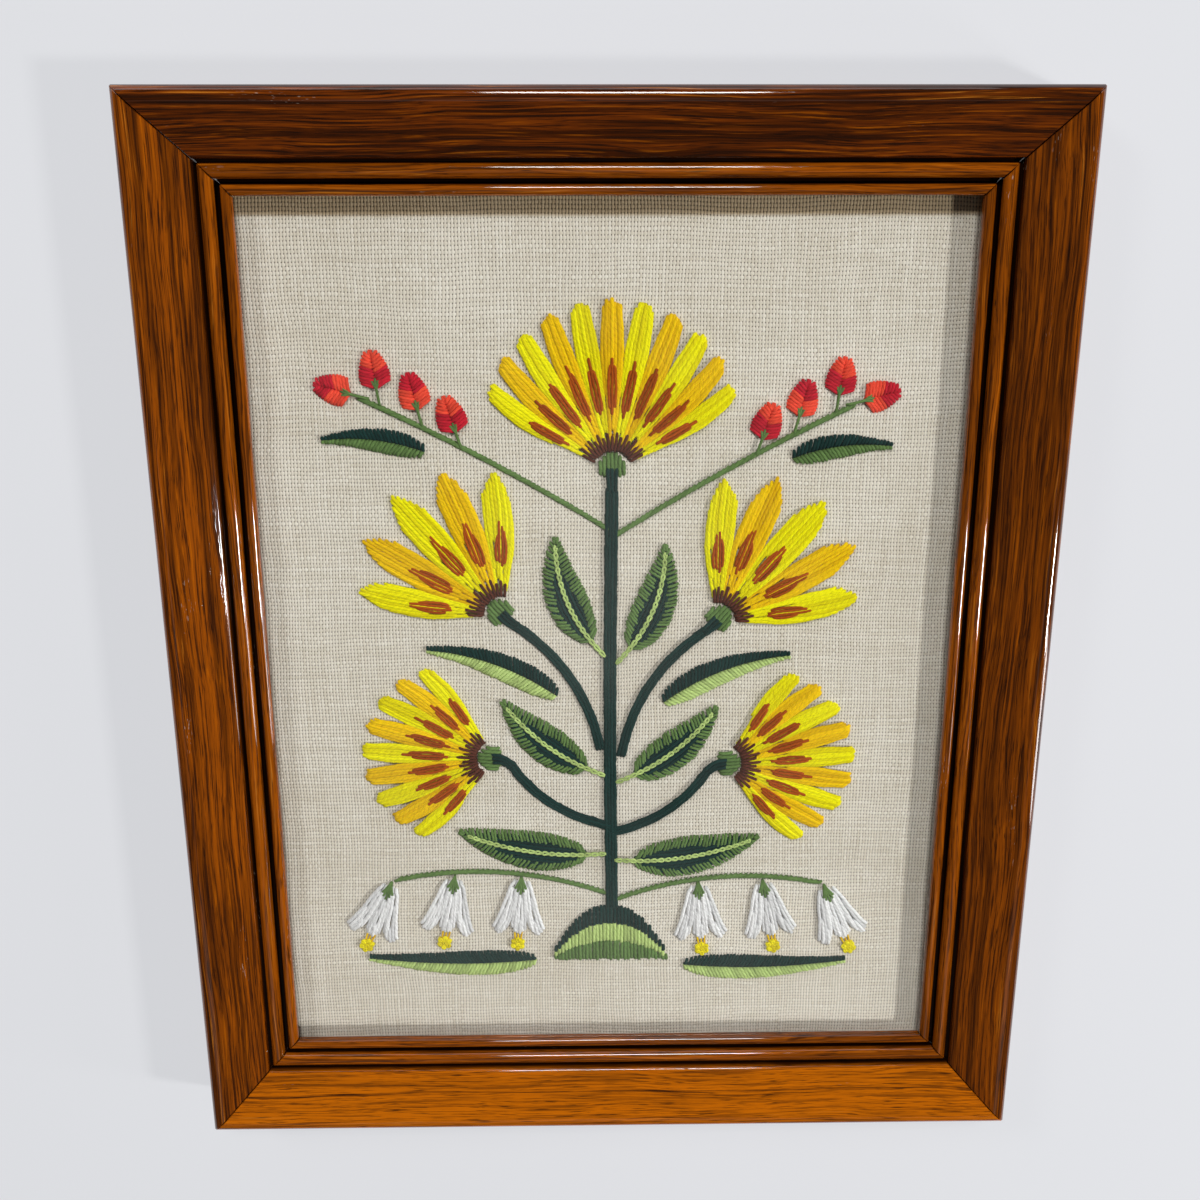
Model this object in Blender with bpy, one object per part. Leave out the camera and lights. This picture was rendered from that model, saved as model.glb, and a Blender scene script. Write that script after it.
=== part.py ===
"""Crewel embroidery panel under glass in a mitred wooden frame, lying on its back.

+X is the picture's right, +Y its top and +Z its face. The origin is the middle of the underside.
Sizes in the constants and tables are in millimetres, and MM turns them into metres.
"""

import math

import bmesh
import bpy

MM = 0.001
GAP = 0.3

# Frame, outer size and the insets of its edges from the outer side
FRAME_WIDTH = 337.0
FRAME_HEIGHT = 413.0
SIGHT_INSET = 35.1
RABBET_INSET = 29.1

# Heights above the surface that the frame lies on
OUTER_EDGE_Z = 27.0
LIP_BOTTOM_Z = 11.5

# Moulding, from the outer side inwards
BACK_CHAMFER = 0.5
OUTER_ROUND_RADIUS = 4.2
FACE_START = (3.9, OUTER_EDGE_Z + 1.2)
FACE_END = (22.8, OUTER_EDGE_Z - 8.3)
QUIRK_FLOOR = ((22.9, OUTER_EDGE_Z - 11.2), (23.9, OUTER_EDGE_Z - 11.5))
BEAD_1 = {"centre": (26.6, OUTER_EDGE_Z - 12.1), "radius": 2.75, "start": 158.0, "end": -28.0}
GROOVE_FLOOR = ((29.5, OUTER_EDGE_Z - 14.3), (30.5, OUTER_EDGE_Z - 14.4))
BEAD_2 = {"centre": (33.0, OUTER_EDGE_Z - 13.4), "radius": 2.1, "start": 150.0, "end": 0.0}
BEAD_STEPS = 7

# What the rabbet holds, from the lip down
GLASS_THICKNESS = 2.0
WOOL_RISE = 2.0
LINEN_THICKNESS = 1.2
BOARD_THICKNESS = 3.0

# Raised wool: height at an edge, in a groove and at a crest
EDGE_RISE = 0.6
GROOVE_RISE = 1.3

# The right half of the spray is the left one turned over, a little lower and narrower
MIRROR_SCALE = 0.98
MIRROR_SHIFT_X = 1.0
MIRROR_SHIFT_Y = -3.0

# Bands on the left half: name, form, start, end, sideways bend, half width, wool
PAIRED_BANDS = (
    ("stem_high", "stem", (-5.5, -34.0), (-37.4, 11.0), -10.0, 1.8, "dark_green"),
    ("stem_mid", "stem", (-6.0, -74.0), (-40.2, -48.0), 8.0, 1.8, "dark_green"),
    ("stem_low", "stem", (-6.0, -105.0), (-90.0, -100.0), -12.0, 1.4, "mid_green"),
    ("sprig", "stem", (-4.6, 52.0), (-94.0, 100.0), -3.0, 1.3, "mid_green"),
    ("leaf_centre", "leaf", (-7.0, 4.0), (-21.0, 46.0), 8.0, 8.0, "mid_green"),
    ("leaf_inner", "leaf", (-9.0, -50.0), (-43.0, -21.0), 6.0, 8.0, "mid_green"),
    ("leaf_broad", "leaf", (-9.0, -88.5), (-62.0, -78.0), 6.0, 8.5, "mid_green"),
    ("leaf_outer", "blade", (-21.0, -19.0), (-74.0, 1.0), -8.0, 5.4, "light_green"),
    ("leaf_ground", "blade", (-31.0, -138.0), (-104.0, -136.0), 5.0, 5.4, "light_green"),
    ("leaf_tip", "blade", (-70.0, 79.5), (-110.0, 84.0), -5.0, 4.4, "dark_green"),
)
MAIN_STEM = ("stem_main", "stem", (1.0, -111.0), (1.0, 65.0), 4.0, 2.4, "dark_green")

# Buds on the left sprig: base, heading in degrees, wool
BUDS = (
    ((-58.0, 87.0), 108.0, "crimson"),
    ((-72.0, 95.5), 104.0, "orange_red"),
    ((-87.0, 103.5), 98.0, "crimson"),
    ((-97.0, 101.5), 165.0, "orange_red"),
)
BUD_LENGTH = 14.0
BUD_HALF_WIDTH = 5.6

# Bells under the left low stem: base, heading
BELLS = (
    ((-37.0, -101.0), -94.0),
    ((-65.0, -100.5), -100.0),
    ((-92.0, -103.0), -112.0),
)
BELL_LENGTH = 25.0
BELL_MOUTH = 12.5
BELL_LOBES = 3
KNOTS_LENGTH = 4.5
KNOTS_HALF_WIDTH = 3.4

# Flower heads: name, base, heading, spread, length, petals, notch depth, notch shape
TOP_HEAD = ("top", (1.0, 72.0), 90.0, 124.0, 64.0, 11, 0.10, 2.0)
PAIRED_HEADS = (
    ("high", (-42.0, 15.0), 131.0, 98.0, 63.0, 5, 0.34, 1.5),
    ("mid", (-46.5, -45.5), 176.0, 112.0, 54.0, 9, 0.10, 2.0),
)
HEAD_INNER = 10.0
HEAD_SIDE_DROP = 0.16
CALYX_BACK = 2.0
CALYX_FRONT = HEAD_INNER - 3.2
CALYX_HALF_WIDTH = 5.8

# Mound at the foot: middle of its base line, half width, height
MOUND = ((0.0, -138.0), 25.0, 24.0)
MOUND_END_HEIGHT = 1.2

# Grid steps along and across each raised form
STEPS = {
    "stem": (10, 3),
    "long_stem": (16, 3),
    "leaf": (9, 4),
    "blade": (9, 4),
    "bud": (5, 4),
    "knots": (3, 4),
    "mound": (12, 3),
}
RADIAL_STEPS = 5
STEPS_A_LOBE = 4

COLOURS = {
    "stained_oak": ((0.27, 0.075, 0.018), 0.22),
    "glass": ((0.92, 0.95, 0.94), 0.03),
    "linen": ((0.62, 0.55, 0.44), 0.92),
    "board": ((0.46, 0.36, 0.24), 0.9),
    "dark_green": ((0.012, 0.055, 0.058), 0.9),
    "mid_green": ((0.085, 0.19, 0.06), 0.9),
    "light_green": ((0.40, 0.60, 0.21), 0.9),
    "yellow": ((0.95, 0.66, 0.01), 0.9),
    "white": ((0.86, 0.87, 0.88), 0.9),
    "knot_yellow": ((0.98, 0.76, 0.01), 0.9),
    "crimson": ((0.56, 0.018, 0.03), 0.9),
    "orange_red": ((0.85, 0.07, 0.025), 0.9),
}

# Heights worked out from the lip down
GLASS_TOP_Z = LIP_BOTTOM_Z - GAP
GLASS_BOTTOM_Z = GLASS_TOP_Z - GLASS_THICKNESS
WOOL_BASE_Z = GLASS_BOTTOM_Z - GAP - WOOL_RISE
LINEN_TOP_Z = WOOL_BASE_Z - GAP
BOARD_TOP_Z = LINEN_TOP_Z - LINEN_THICKNESS - GAP


def clear_scene():
    for old in list(bpy.data.objects):
        bpy.data.objects.remove(old, do_unlink=True)


def material(name):
    found = bpy.data.materials.get(name)
    if found:
        return found
    colour, roughness = COLOURS[name]
    made = bpy.data.materials.new(name)
    made.use_nodes = True
    shader = made.node_tree.nodes["Principled BSDF"]
    shader.inputs["Base Color"].default_value = (*colour, 1.0)
    shader.inputs["Roughness"].default_value = roughness
    if name == "glass":
        shader.inputs["Transmission Weight"].default_value = 1.0
    return made


def add_object(name, mesh_data, finish, sharp_angle=None):
    """Puts a finished bmesh into the scene under its name, in metres."""
    bmesh.ops.recalc_face_normals(mesh_data, faces=mesh_data.faces)
    bmesh.ops.scale(mesh_data, vec=(MM, MM, MM), verts=mesh_data.verts)
    mesh = bpy.data.meshes.new(name)
    mesh_data.to_mesh(mesh)
    mesh_data.free()
    if sharp_angle is not None:
        mesh.shade_smooth()
        mesh.set_sharp_from_angle(angle=math.radians(sharp_angle))
    mesh.materials.append(material(finish))
    made = bpy.data.objects.new(name, mesh)
    bpy.context.scene.collection.objects.link(made)
    return made


# Frame


def arc(centre, radius, start, end, steps):
    """Points of an arc in the moulding's plane, angles in degrees from inwards to up."""
    points = []
    for step in range(steps + 1):
        angle = math.radians(start + (end - start) * step / steps)
        points.append((centre[0] + radius * math.cos(angle), centre[1] + radius * math.sin(angle)))
    return points


def moulding_profile():
    """The moulding's section as points of inset from the outer side and height."""
    slope = math.atan2(FACE_END[1] - FACE_START[1], FACE_END[0] - FACE_START[0])
    round_end = math.degrees(slope) + 90.0
    round_centre = (OUTER_ROUND_RADIUS, OUTER_EDGE_Z - 2.4)
    points = [(BACK_CHAMFER, 0.0), (0.0, BACK_CHAMFER)]
    points += arc(round_centre, OUTER_ROUND_RADIUS, 180.0, round_end, BEAD_STEPS)
    points.append(FACE_END)
    points += QUIRK_FLOOR
    for bead, floor in ((BEAD_1, GROOVE_FLOOR), (BEAD_2, ())):
        points += arc(bead["centre"], bead["radius"], bead["start"], bead["end"], BEAD_STEPS)
        points += floor
    points += [(SIGHT_INSET, LIP_BOTTOM_Z), (RABBET_INSET, LIP_BOTTOM_Z), (RABBET_INSET, 0.0)]
    return points


def add_rail(name, outer_length, distance, turn):
    """A mitred rail: its profile runs along X, at -Y from its outer side, and is then turned."""
    mesh_data = bmesh.new()
    mitre_cut = GAP / 2.0 * math.sqrt(2.0)
    rings = []
    for side in (-1.0, 1.0):
        ring = []
        for inset, height in moulding_profile():
            along = side * (outer_length / 2.0 - inset - mitre_cut)
            ring.append(mesh_data.verts.new((along, -inset, height)))
        rings.append(ring)
    count = len(rings[0])
    for i in range(count):
        following = (i + 1) % count
        mesh_data.faces.new((rings[0][i], rings[0][following], rings[1][following], rings[1][i]))
    mesh_data.faces.new(rings[0])
    mesh_data.faces.new(rings[1])
    rail = add_object(name, mesh_data, "stained_oak", sharp_angle=40.0)
    angle = math.radians(turn)
    rail.location = (-math.sin(angle) * distance * MM, math.cos(angle) * distance * MM, 0.0)
    rail.rotation_euler = (0.0, 0.0, angle)


def add_frame():
    add_rail("rail_top", FRAME_WIDTH, FRAME_HEIGHT / 2.0, 0.0)
    add_rail("rail_left", FRAME_HEIGHT, FRAME_WIDTH / 2.0, 90.0)
    add_rail("rail_bottom", FRAME_WIDTH, FRAME_HEIGHT / 2.0, 180.0)
    add_rail("rail_right", FRAME_HEIGHT, FRAME_WIDTH / 2.0, 270.0)


def add_sheet(name, top, thickness, finish):
    """A flat sheet that fills the rabbet with the gap all round."""
    mesh_data = bmesh.new()
    bmesh.ops.create_cube(mesh_data, size=1.0)
    width = FRAME_WIDTH - 2.0 * (RABBET_INSET + GAP)
    height = FRAME_HEIGHT - 2.0 * (RABBET_INSET + GAP)
    bmesh.ops.scale(mesh_data, vec=(width, height, thickness), verts=mesh_data.verts)
    sheet = add_object(name, mesh_data, finish)
    sheet.location = (0.0, 0.0, (top - thickness / 2.0) * MM)


# Raised wool


def step_from(point, heading, distance):
    angle = math.radians(heading)
    return (point[0] + distance * math.cos(angle), point[1] + distance * math.sin(angle))


def mirrored(point):
    return (MIRROR_SHIFT_X - MIRROR_SCALE * point[0], MIRROR_SHIFT_Y + point[1])


def ends_and_middle(share, sharpness, least):
    """1 in the middle of a form and least at its ends."""
    return least + (1.0 - least) * math.sin(math.pi * share) ** sharpness


def half_width(form, share):
    """A band's half width, 0 to 1, at a share of its length."""
    if form == "leaf":
        return ends_and_middle(min(1.0, share**0.75), 0.8, 0.08)
    if form == "blade":
        return ends_and_middle(min(1.0, share**0.6), 0.9, 0.12)
    if form in ("bud", "knots"):
        return ends_and_middle((0.08 + 0.88 * share) ** 0.7, 0.8, 0.25)
    return 1.0


def band(form, start, end, bend, widest):
    """A place on a band round a bent midline, from shares along (0 to 1) and across (-1 to 1)."""
    run = (end[0] - start[0], end[1] - start[1])
    length = math.hypot(*run)
    middle = (
        (start[0] + end[0]) / 2.0 - run[1] / length * bend,
        (start[1] + end[1]) / 2.0 + run[0] / length * bend,
    )

    def place(along, across):
        back = 1.0 - along
        point = [back * back * a + 2.0 * along * back * b + along * along * c
                 for a, b, c in zip(start, middle, end)]
        tangent = [2.0 * back * (b - a) + 2.0 * along * (c - b)
                   for a, b, c in zip(start, middle, end)]
        size = math.hypot(*tangent)
        width = widest * half_width(form, along)
        # Both ends are rounded by half their own width
        end_bulge = 0.5 * width * (1.0 - across * across)
        outward = -end_bulge if along == 0.0 else end_bulge if along == 1.0 else 0.0
        x = point[0] - tangent[1] / size * width * across + tangent[0] / size * outward
        y = point[1] + tangent[0] / size * width * across + tangent[1] / size * outward
        return x, y

    return place


def lobe_share(count, across, point):
    """1 at the middle of a lobe and 0 between two, going across count lobes."""
    share = (count * (across + 1.0) / 2.0) % 1.0
    return 1.0 - abs(2.0 * share - 1.0) ** point


def bell(base, heading, length, mouth):
    """A place on a bell that flares from its base to a mouth of pointed lobes."""

    def place(along, across):
        width = mouth * (0.22 + 0.50 * along**0.6 + 0.28 * along**4)
        reach = length * (0.80 + 0.20 * lobe_share(BELL_LOBES, across, 1.5))
        bulge = -0.5 * width * (1.0 - across * across) if along == 0.0 else 0.0
        middle = step_from(base, heading, reach * along + bulge)
        return step_from(middle, heading + 90.0, width * across)

    return place


def head(base, heading, spread, length, petals, notch, point):
    """A place on a fan of petals, from shares outwards (0 to 1) and round (-1 to 1)."""

    def place(outwards, round_share):
        reach = length * (1.0 - HEAD_SIDE_DROP * round_share**2)
        reach *= 1.0 - notch * (1.0 - lobe_share(petals, round_share, point))
        radius = HEAD_INNER + (reach - HEAD_INNER) * outwards
        swell = 1.0 + 0.05 * math.sin(math.pi * outwards)
        return step_from(base, heading + spread / 2.0 * round_share * swell, radius)

    return place


def mound(base, widest, height):
    """A place on a low hill, from shares along its base line and up to its top."""

    def place(along, across):
        aside = 2.0 * along - 1.0
        top = MOUND_END_HEIGHT + height * (1.0 - abs(aside) ** 2.2)
        bulge = 0.6 * (1.0 - across * across)
        outward = math.copysign(bulge, aside) if along in (0.0, 1.0) else 0.0
        return base[0] + widest * aside + outward, base[1] + top * (across + 1.0) / 2.0

    return place


def plain_rise(along, across):
    """Height of a simple form: low at its rim and full in its middle."""
    rim = abs(across) > 0.999 or along in (0.0, 1.0)
    return EDGE_RISE if rim else WOOL_RISE


def veined_rise(along, across):
    """As plain_rise, with a groove along the midrib."""
    if abs(across) < 0.001 and 0.0 < along < 1.0:
        return GROOVE_RISE
    return plain_rise(along, across)


def petal_rise(lobes):
    """As plain_rise, with a groove between each two lobes."""

    def rise(along, across):
        if 0.0 < along < 1.0 and abs(across) < 0.999:
            share = lobe_share(lobes, across, 2.0)
            return GROOVE_RISE + (WOOL_RISE - GROOVE_RISE) * min(1.0, 1.4 * share)
        return EDGE_RISE

    return rise


def raised_grid(place, rise, steps):
    """A low form on the linen, still open below: a grid for its top, and upright sides."""
    along_steps, across_steps = steps
    mesh_data = bmesh.new()
    top, foot = {}, {}
    for i in range(along_steps + 1):
        for j in range(across_steps + 1):
            along, across = i / along_steps, 2.0 * j / across_steps - 1.0
            x, y = place(along, across)
            top[i, j] = mesh_data.verts.new((x, y, WOOL_BASE_Z + rise(along, across)))
            if i in (0, along_steps) or j in (0, across_steps):
                foot[i, j] = mesh_data.verts.new((x, y, WOOL_BASE_Z))
    for i in range(along_steps):
        for j in range(across_steps):
            corners = ((i, j), (i + 1, j), (i + 1, j + 1), (i, j + 1))
            mesh_data.faces.new([top[corner] for corner in corners])
    rim = [(i, 0) for i in range(along_steps)]
    rim += [(along_steps, j) for j in range(across_steps)]
    rim += [(i, across_steps) for i in range(along_steps, 0, -1)]
    rim += [(0, j) for j in range(across_steps, 0, -1)]
    for here, there in zip(rim, rim[1:] + rim[:1]):
        mesh_data.faces.new((top[here], foot[here], foot[there], top[there]))
    return mesh_data, foot


def add_band_form(name, place, rise, steps, wool):
    """A raised form whose underside is a ladder from side to side, with round ends."""
    mesh_data, foot = raised_grid(place, rise, steps)
    last, side = steps
    for i in range(last):
        near = [foot[0, j] for j in range(side + 1)] if i == 0 else [foot[i, 0], foot[i, side]]
        far = [foot[last, j] for j in range(side, -1, -1)]
        if i < last - 1:
            far = [foot[i + 1, side], foot[i + 1, 0]]
        mesh_data.faces.new(near + far)
    add_object(name, mesh_data, wool, sharp_angle=60.0)


def add_fan_form(name, place, rise, steps, wool):
    """A raised form whose underside is a ladder from its inner to its outer rim."""
    mesh_data, foot = raised_grid(place, rise, steps)
    last, side = steps
    for j in range(side):
        near = [foot[i, 0] for i in range(last + 1)] if j == 0 else [foot[0, j], foot[last, j]]
        far = [foot[i, side] for i in range(last, -1, -1)]
        if j < side - 1:
            far = [foot[last, j + 1], foot[0, j + 1]]
        mesh_data.faces.new(near + far)
    add_object(name, mesh_data, wool, sharp_angle=60.0)


def add_strip(name, form, start, end, bend, widest, wool, steps=None):
    rise = veined_rise if form in ("leaf", "blade") else plain_rise
    place = band(form, start, end, bend, widest)
    add_band_form(name, place, rise, STEPS[steps or form], wool)


def add_head(name, base, heading, spread, length, petals, notch, point):
    place = head(base, heading, spread, length, petals, notch, point)
    steps = (RADIAL_STEPS, petals * STEPS_A_LOBE)
    add_fan_form("head_" + name, place, petal_rise(petals), steps, "yellow")
    back = step_from(base, heading, -CALYX_BACK)
    front = step_from(base, heading, CALYX_FRONT)
    add_strip("calyx_" + name, "bud", back, front, 0.0, CALYX_HALF_WIDTH, "mid_green")


def add_bell(name, base, heading):
    place = bell(base, heading, BELL_LENGTH, BELL_MOUTH)
    steps = (RADIAL_STEPS, BELL_LOBES * STEPS_A_LOBE)
    add_fan_form("bell_" + name, place, petal_rise(BELL_LOBES), steps, "white")
    near = step_from(base, heading, BELL_LENGTH + 2.0)
    far = step_from(near, heading, KNOTS_LENGTH)
    add_strip("knots_" + name, "knots", near, far, 0.0, KNOTS_HALF_WIDTH, "knot_yellow")


def add_spray_half(side):
    """All paired forms of one half. The right one mirrors points, headings and bends."""
    right = side == "right"

    def point(given):
        return mirrored(given) if right else given

    def heading(given):
        return 180.0 - given if right else given

    for name, form, start, end, bend, widest, wool in PAIRED_BANDS:
        bent = -bend if right else bend
        add_strip(f"{name}_{side}", form, point(start), point(end), bent, widest, wool)
    for number, (base, angle, wool) in enumerate(BUDS, 1):
        tip = step_from(point(base), heading(angle), BUD_LENGTH)
        name = f"bud_{side}_{number}"
        add_strip(name, "bud", point(base), tip, 0.0, BUD_HALF_WIDTH, wool)
    for number, (base, angle) in enumerate(BELLS, 1):
        add_bell(f"{side}_{number}", point(base), heading(angle))
    for name, base, angle, *shape in PAIRED_HEADS:
        add_head(f"{name}_{side}", point(base), heading(angle), *shape)


def add_spray():
    add_strip(*MAIN_STEM, "long_stem")
    add_head(*TOP_HEAD)
    add_band_form("mound", mound(*MOUND), plain_rise, STEPS["mound"], "mid_green")
    add_spray_half("left")
    add_spray_half("right")


def build():
    clear_scene()
    add_frame()
    add_sheet("glass_pane", GLASS_TOP_Z, GLASS_THICKNESS, "glass")
    add_sheet("linen_ground", LINEN_TOP_Z, LINEN_THICKNESS, "linen")
    add_sheet("mounting_board", BOARD_TOP_Z, BOARD_THICKNESS, "board")
    add_spray()


build()
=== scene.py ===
"""Looks of a crewel embroidery panel under glass in a mitred, varnished oak frame.

+X is the picture's right, +Y its top and +Z its face. Sizes in the constants and tables are in
millimetres, and MM turns them into metres. Angles there are in degrees.
"""

import math
import random

import bpy
import numpy as np
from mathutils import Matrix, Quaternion, Vector, noise


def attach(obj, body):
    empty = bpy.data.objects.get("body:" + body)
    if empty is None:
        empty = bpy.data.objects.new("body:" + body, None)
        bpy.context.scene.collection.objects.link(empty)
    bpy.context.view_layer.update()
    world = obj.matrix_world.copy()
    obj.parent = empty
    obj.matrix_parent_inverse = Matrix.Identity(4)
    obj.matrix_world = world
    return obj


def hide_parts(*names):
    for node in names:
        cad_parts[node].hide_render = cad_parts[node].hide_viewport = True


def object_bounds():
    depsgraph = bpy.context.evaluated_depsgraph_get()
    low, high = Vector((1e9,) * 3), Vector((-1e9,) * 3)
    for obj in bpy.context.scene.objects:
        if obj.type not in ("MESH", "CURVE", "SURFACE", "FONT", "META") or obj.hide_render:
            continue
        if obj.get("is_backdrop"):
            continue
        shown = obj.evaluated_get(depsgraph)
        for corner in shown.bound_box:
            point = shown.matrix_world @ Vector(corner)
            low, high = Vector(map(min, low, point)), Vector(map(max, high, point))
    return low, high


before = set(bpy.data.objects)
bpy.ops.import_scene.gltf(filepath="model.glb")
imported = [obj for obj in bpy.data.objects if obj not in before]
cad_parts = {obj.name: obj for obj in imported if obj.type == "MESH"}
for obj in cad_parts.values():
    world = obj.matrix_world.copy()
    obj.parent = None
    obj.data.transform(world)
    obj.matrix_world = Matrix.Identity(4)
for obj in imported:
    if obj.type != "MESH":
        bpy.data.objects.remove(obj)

CAD_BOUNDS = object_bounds()
# Without a seed the drift of the threads would differ at each run
NOISE_SEED = 7
noise.seed_set(NOISE_SEED)
MM = 0.001
BODY = "root"
GAP = 0.3

# Frame: outer size, insets from the outer side and heights above the floor
FRAME_WIDTH = 337.0
FRAME_HEIGHT = 413.0
SIGHT_INSET = 35.1
RABBET_INSET = 29.1
OUTER_EDGE_Z = 27.0
LIP_BOTTOM_Z = 11.5

# Moulding, from the outer side inwards
BACK_CHAMFER = 0.5
OUTER_ROUND = {"centre": (4.2, OUTER_EDGE_Z - 2.4), "radius": 4.2, "start": 180.0}
FACE_START = (3.9, OUTER_EDGE_Z + 1.2)
FACE_END = (22.8, OUTER_EDGE_Z - 8.3)
QUIRK_FLOOR = ((22.9, OUTER_EDGE_Z - 11.2), (23.9, OUTER_EDGE_Z - 11.5))
BEAD_1 = {"centre": (26.6, OUTER_EDGE_Z - 12.1), "radius": 2.75, "start": 158.0, "end": -28.0}
GROOVE_FLOOR = ((29.5, OUTER_EDGE_Z - 14.3), (30.5, OUTER_EDGE_Z - 14.4))
BEAD_2 = {"centre": (33.0, OUTER_EDGE_Z - 13.4), "radius": 2.1, "start": 150.0, "end": 0.0}
ARC_STEPS = 14
FACE_STEPS = 8
CORNER_EASE = 0.7
EASE_STEPS = 4
MITRE_EASE = 0.22
RAIL_STEP = 6.0
WOOD_WOBBLE = 0.05
RAIL_SHARP = 38.0

# What the rabbet holds
LINEN_TOP_Z = 6.6
LINEN_BOTTOM_Z = 5.4
LINEN_SIZE = (FRAME_WIDTH - 2.0 * (RABBET_INSET + GAP), FRAME_HEIGHT - 2.0 * (RABBET_INSET + GAP))
SIGHT_HEIGHT = FRAME_HEIGHT - 2.0 * SIGHT_INSET
LINEN_STEP = 3.0
LINEN_WAVE = 0.09
LINEN_SHARP = 50.0

# Weave: distance between upright and level threads, and how much of that a thread fills
WARP_PITCH = 1.2
WEFT_PITCH = 1.5
WARP_FILL = 0.77
WEFT_FILL = 0.93
SLUB_SWELL = 0.20
THREAD_DRIFT = 1.6

# Wool strands
STRAND_RADIUS = 0.82
STRAND_PITCH = 1.48
CROWDED_PITCH = 0.96
STRAND_SIDES = 8
STRAND_STEP = 0.75
PLY_PITCH = 5.0
PLY_DEPTH = 0.14
FIBRE_ALONG = 0.35
FIBRE_ROUND = 1.8
END_RUN = 0.9
NEEDLE_Z = LINEN_TOP_Z - 0.5
LAYER_RISE = 0.92
CROWN = 0.12
PETAL_CROWN = 0.35
SWAY = 0.07
STREAK_PITCH = 1.25
MARGIN_PITCH = 1.52
BLADE_PITCH = 1.46
BUD_PITCH = 1.4
STEM_PITCH = 1.22
GOLDEN = 0.618034

# Stitches: thinner strands' radii, sizes along a form, and rises in layers
THIN_RADIUS = 0.62
SHORT_RADIUS = 0.64
SATIN_RADIUS = 0.74
NEIGHBOUR_RISE = 0.12
CUP_LAYER = 0.85
PETAL_FILL = 0.97
PETAL_STEPS = 12
PETAL_PINCH = (0.66, 1.05)
PETAL_RISE = 0.22
STREAK_START = 0.20
STREAK_END = 0.62
STREAK_LAYER = 1.2
LEAF_MARGIN = 1.2
MARGIN_SLANT = 2.2
MARGIN_DEPTH = 4.2
MARGIN_LAYER = 0.75
MIDRIB_SHARE = 0.93
BLADE_FILL = 0.97
BLADE_SLANT = 0.55
STEM_STITCH = (12.0, 18.0)
STEM_OVERLAP = 1.6
ROPE_STEP = 2.1
ROPE_STITCH = 6.2
ROPE_SLANT = 0.62
LINK_PITCH = 2.9
LINK_STEPS = 13
LINK_HALF_WIDTH = 0.72
LINK_OVERLAP = 1.18
LINK_RADIUS = 0.52
KNOT_RADIUS = 0.56
KNOT_COIL = 0.78
KNOT_TURNS = 1.7
KNOT_STEPS = 18
KNOT_HEIGHT = 0.95

# The right half of the spray is the left one turned over, a little lower and narrower
MIRROR_SCALE = 0.98
MIRROR_SHIFT_X = 1.0
MIRROR_SHIFT_Y = -3.0

# Bands on the left half: name, form, start, end, sideways bend, half width
PAIRED_BANDS = (
    ("stem_high", "stem", (-5.5, -34.0), (-37.4, 11.0), -10.0, 1.8),
    ("stem_mid", "stem", (-6.0, -74.0), (-40.2, -48.0), 8.0, 1.8),
    ("stem_low", "rope", (-6.0, -105.0), (-90.0, -100.0), -12.0, 1.4),
    ("sprig", "rope", (-4.6, 52.0), (-94.0, 100.0), -3.0, 1.3),
    ("leaf_centre", "leaf", (-7.0, 4.0), (-21.0, 46.0), 8.0, 8.0),
    ("leaf_inner", "leaf", (-9.0, -50.0), (-43.0, -21.0), 6.0, 8.0),
    ("leaf_broad", "leaf", (-9.0, -88.5), (-62.0, -78.0), 6.0, 8.5),
    ("leaf_outer", "blade", (-21.0, -19.0), (-74.0, 1.0), -8.0, 5.4),
    ("leaf_ground", "blade", (-31.0, -138.0), (-104.0, -136.0), 5.0, 5.4),
    ("leaf_tip", "blade", (-70.0, 79.5), (-110.0, 84.0), -5.0, 4.4),
)
# How far side stems, the main stem and midribs begin before their bands
JOIN_REACH = 7.5
FOOT_REACH = 2.5
LEAF_STALK = 8.0
MAIN_STEM = ("stem_main", "stem", (1.0, -111.0), (1.0, 65.0), 1.6, 2.4)
BAND_SLOTS = {
    "stem_high": "wool_dark_green",
    "stem_mid": "wool_dark_green",
    "stem_main": "wool_dark_green",
    "leaf_tip": "wool_dark_green",
    "leaf_outer": "wool_light_green",
    "leaf_ground": "wool_light_green",
}
DEFAULT_BAND_SLOT = "wool_mid_green"

# Buds on the left sprig: base, heading, main wool, wool of the tip
BUDS = (
    ((-58.0, 87.0), 108.0, "crimson", "orange_red"),
    ((-72.0, 95.5), 104.0, "orange_red", "crimson"),
    ((-87.0, 103.5), 98.0, "crimson", "orange_red"),
    ((-97.0, 101.5), 165.0, "orange_red", "crimson"),
)
BUD_LENGTH = 14.0
BUD_HALF_WIDTH = 5.6
BUD_RADIUS = 0.72
SEPAL_TURNS = (-24.0, 0.0, 24.0)
SEPAL_LENGTH = 3.8
STALK_REACH = 6.8

# Bells under the left low stem: base, heading
BELLS = (
    ((-37.0, -101.0), -94.0),
    ((-65.0, -100.5), -100.0),
    ((-92.0, -103.0), -112.0),
)
BELL_LENGTH = 25.0
BELL_MOUTH = 12.5
BELL_LOBES = 3
BELL_CUP_TURN = 17.0
KNOTS_LENGTH = 4.5
KNOTS_REACH = 2.05
STAMEN_START = 20.5
STAMEN_SIDES = (-1.1, 0.0, 1.1)

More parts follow.
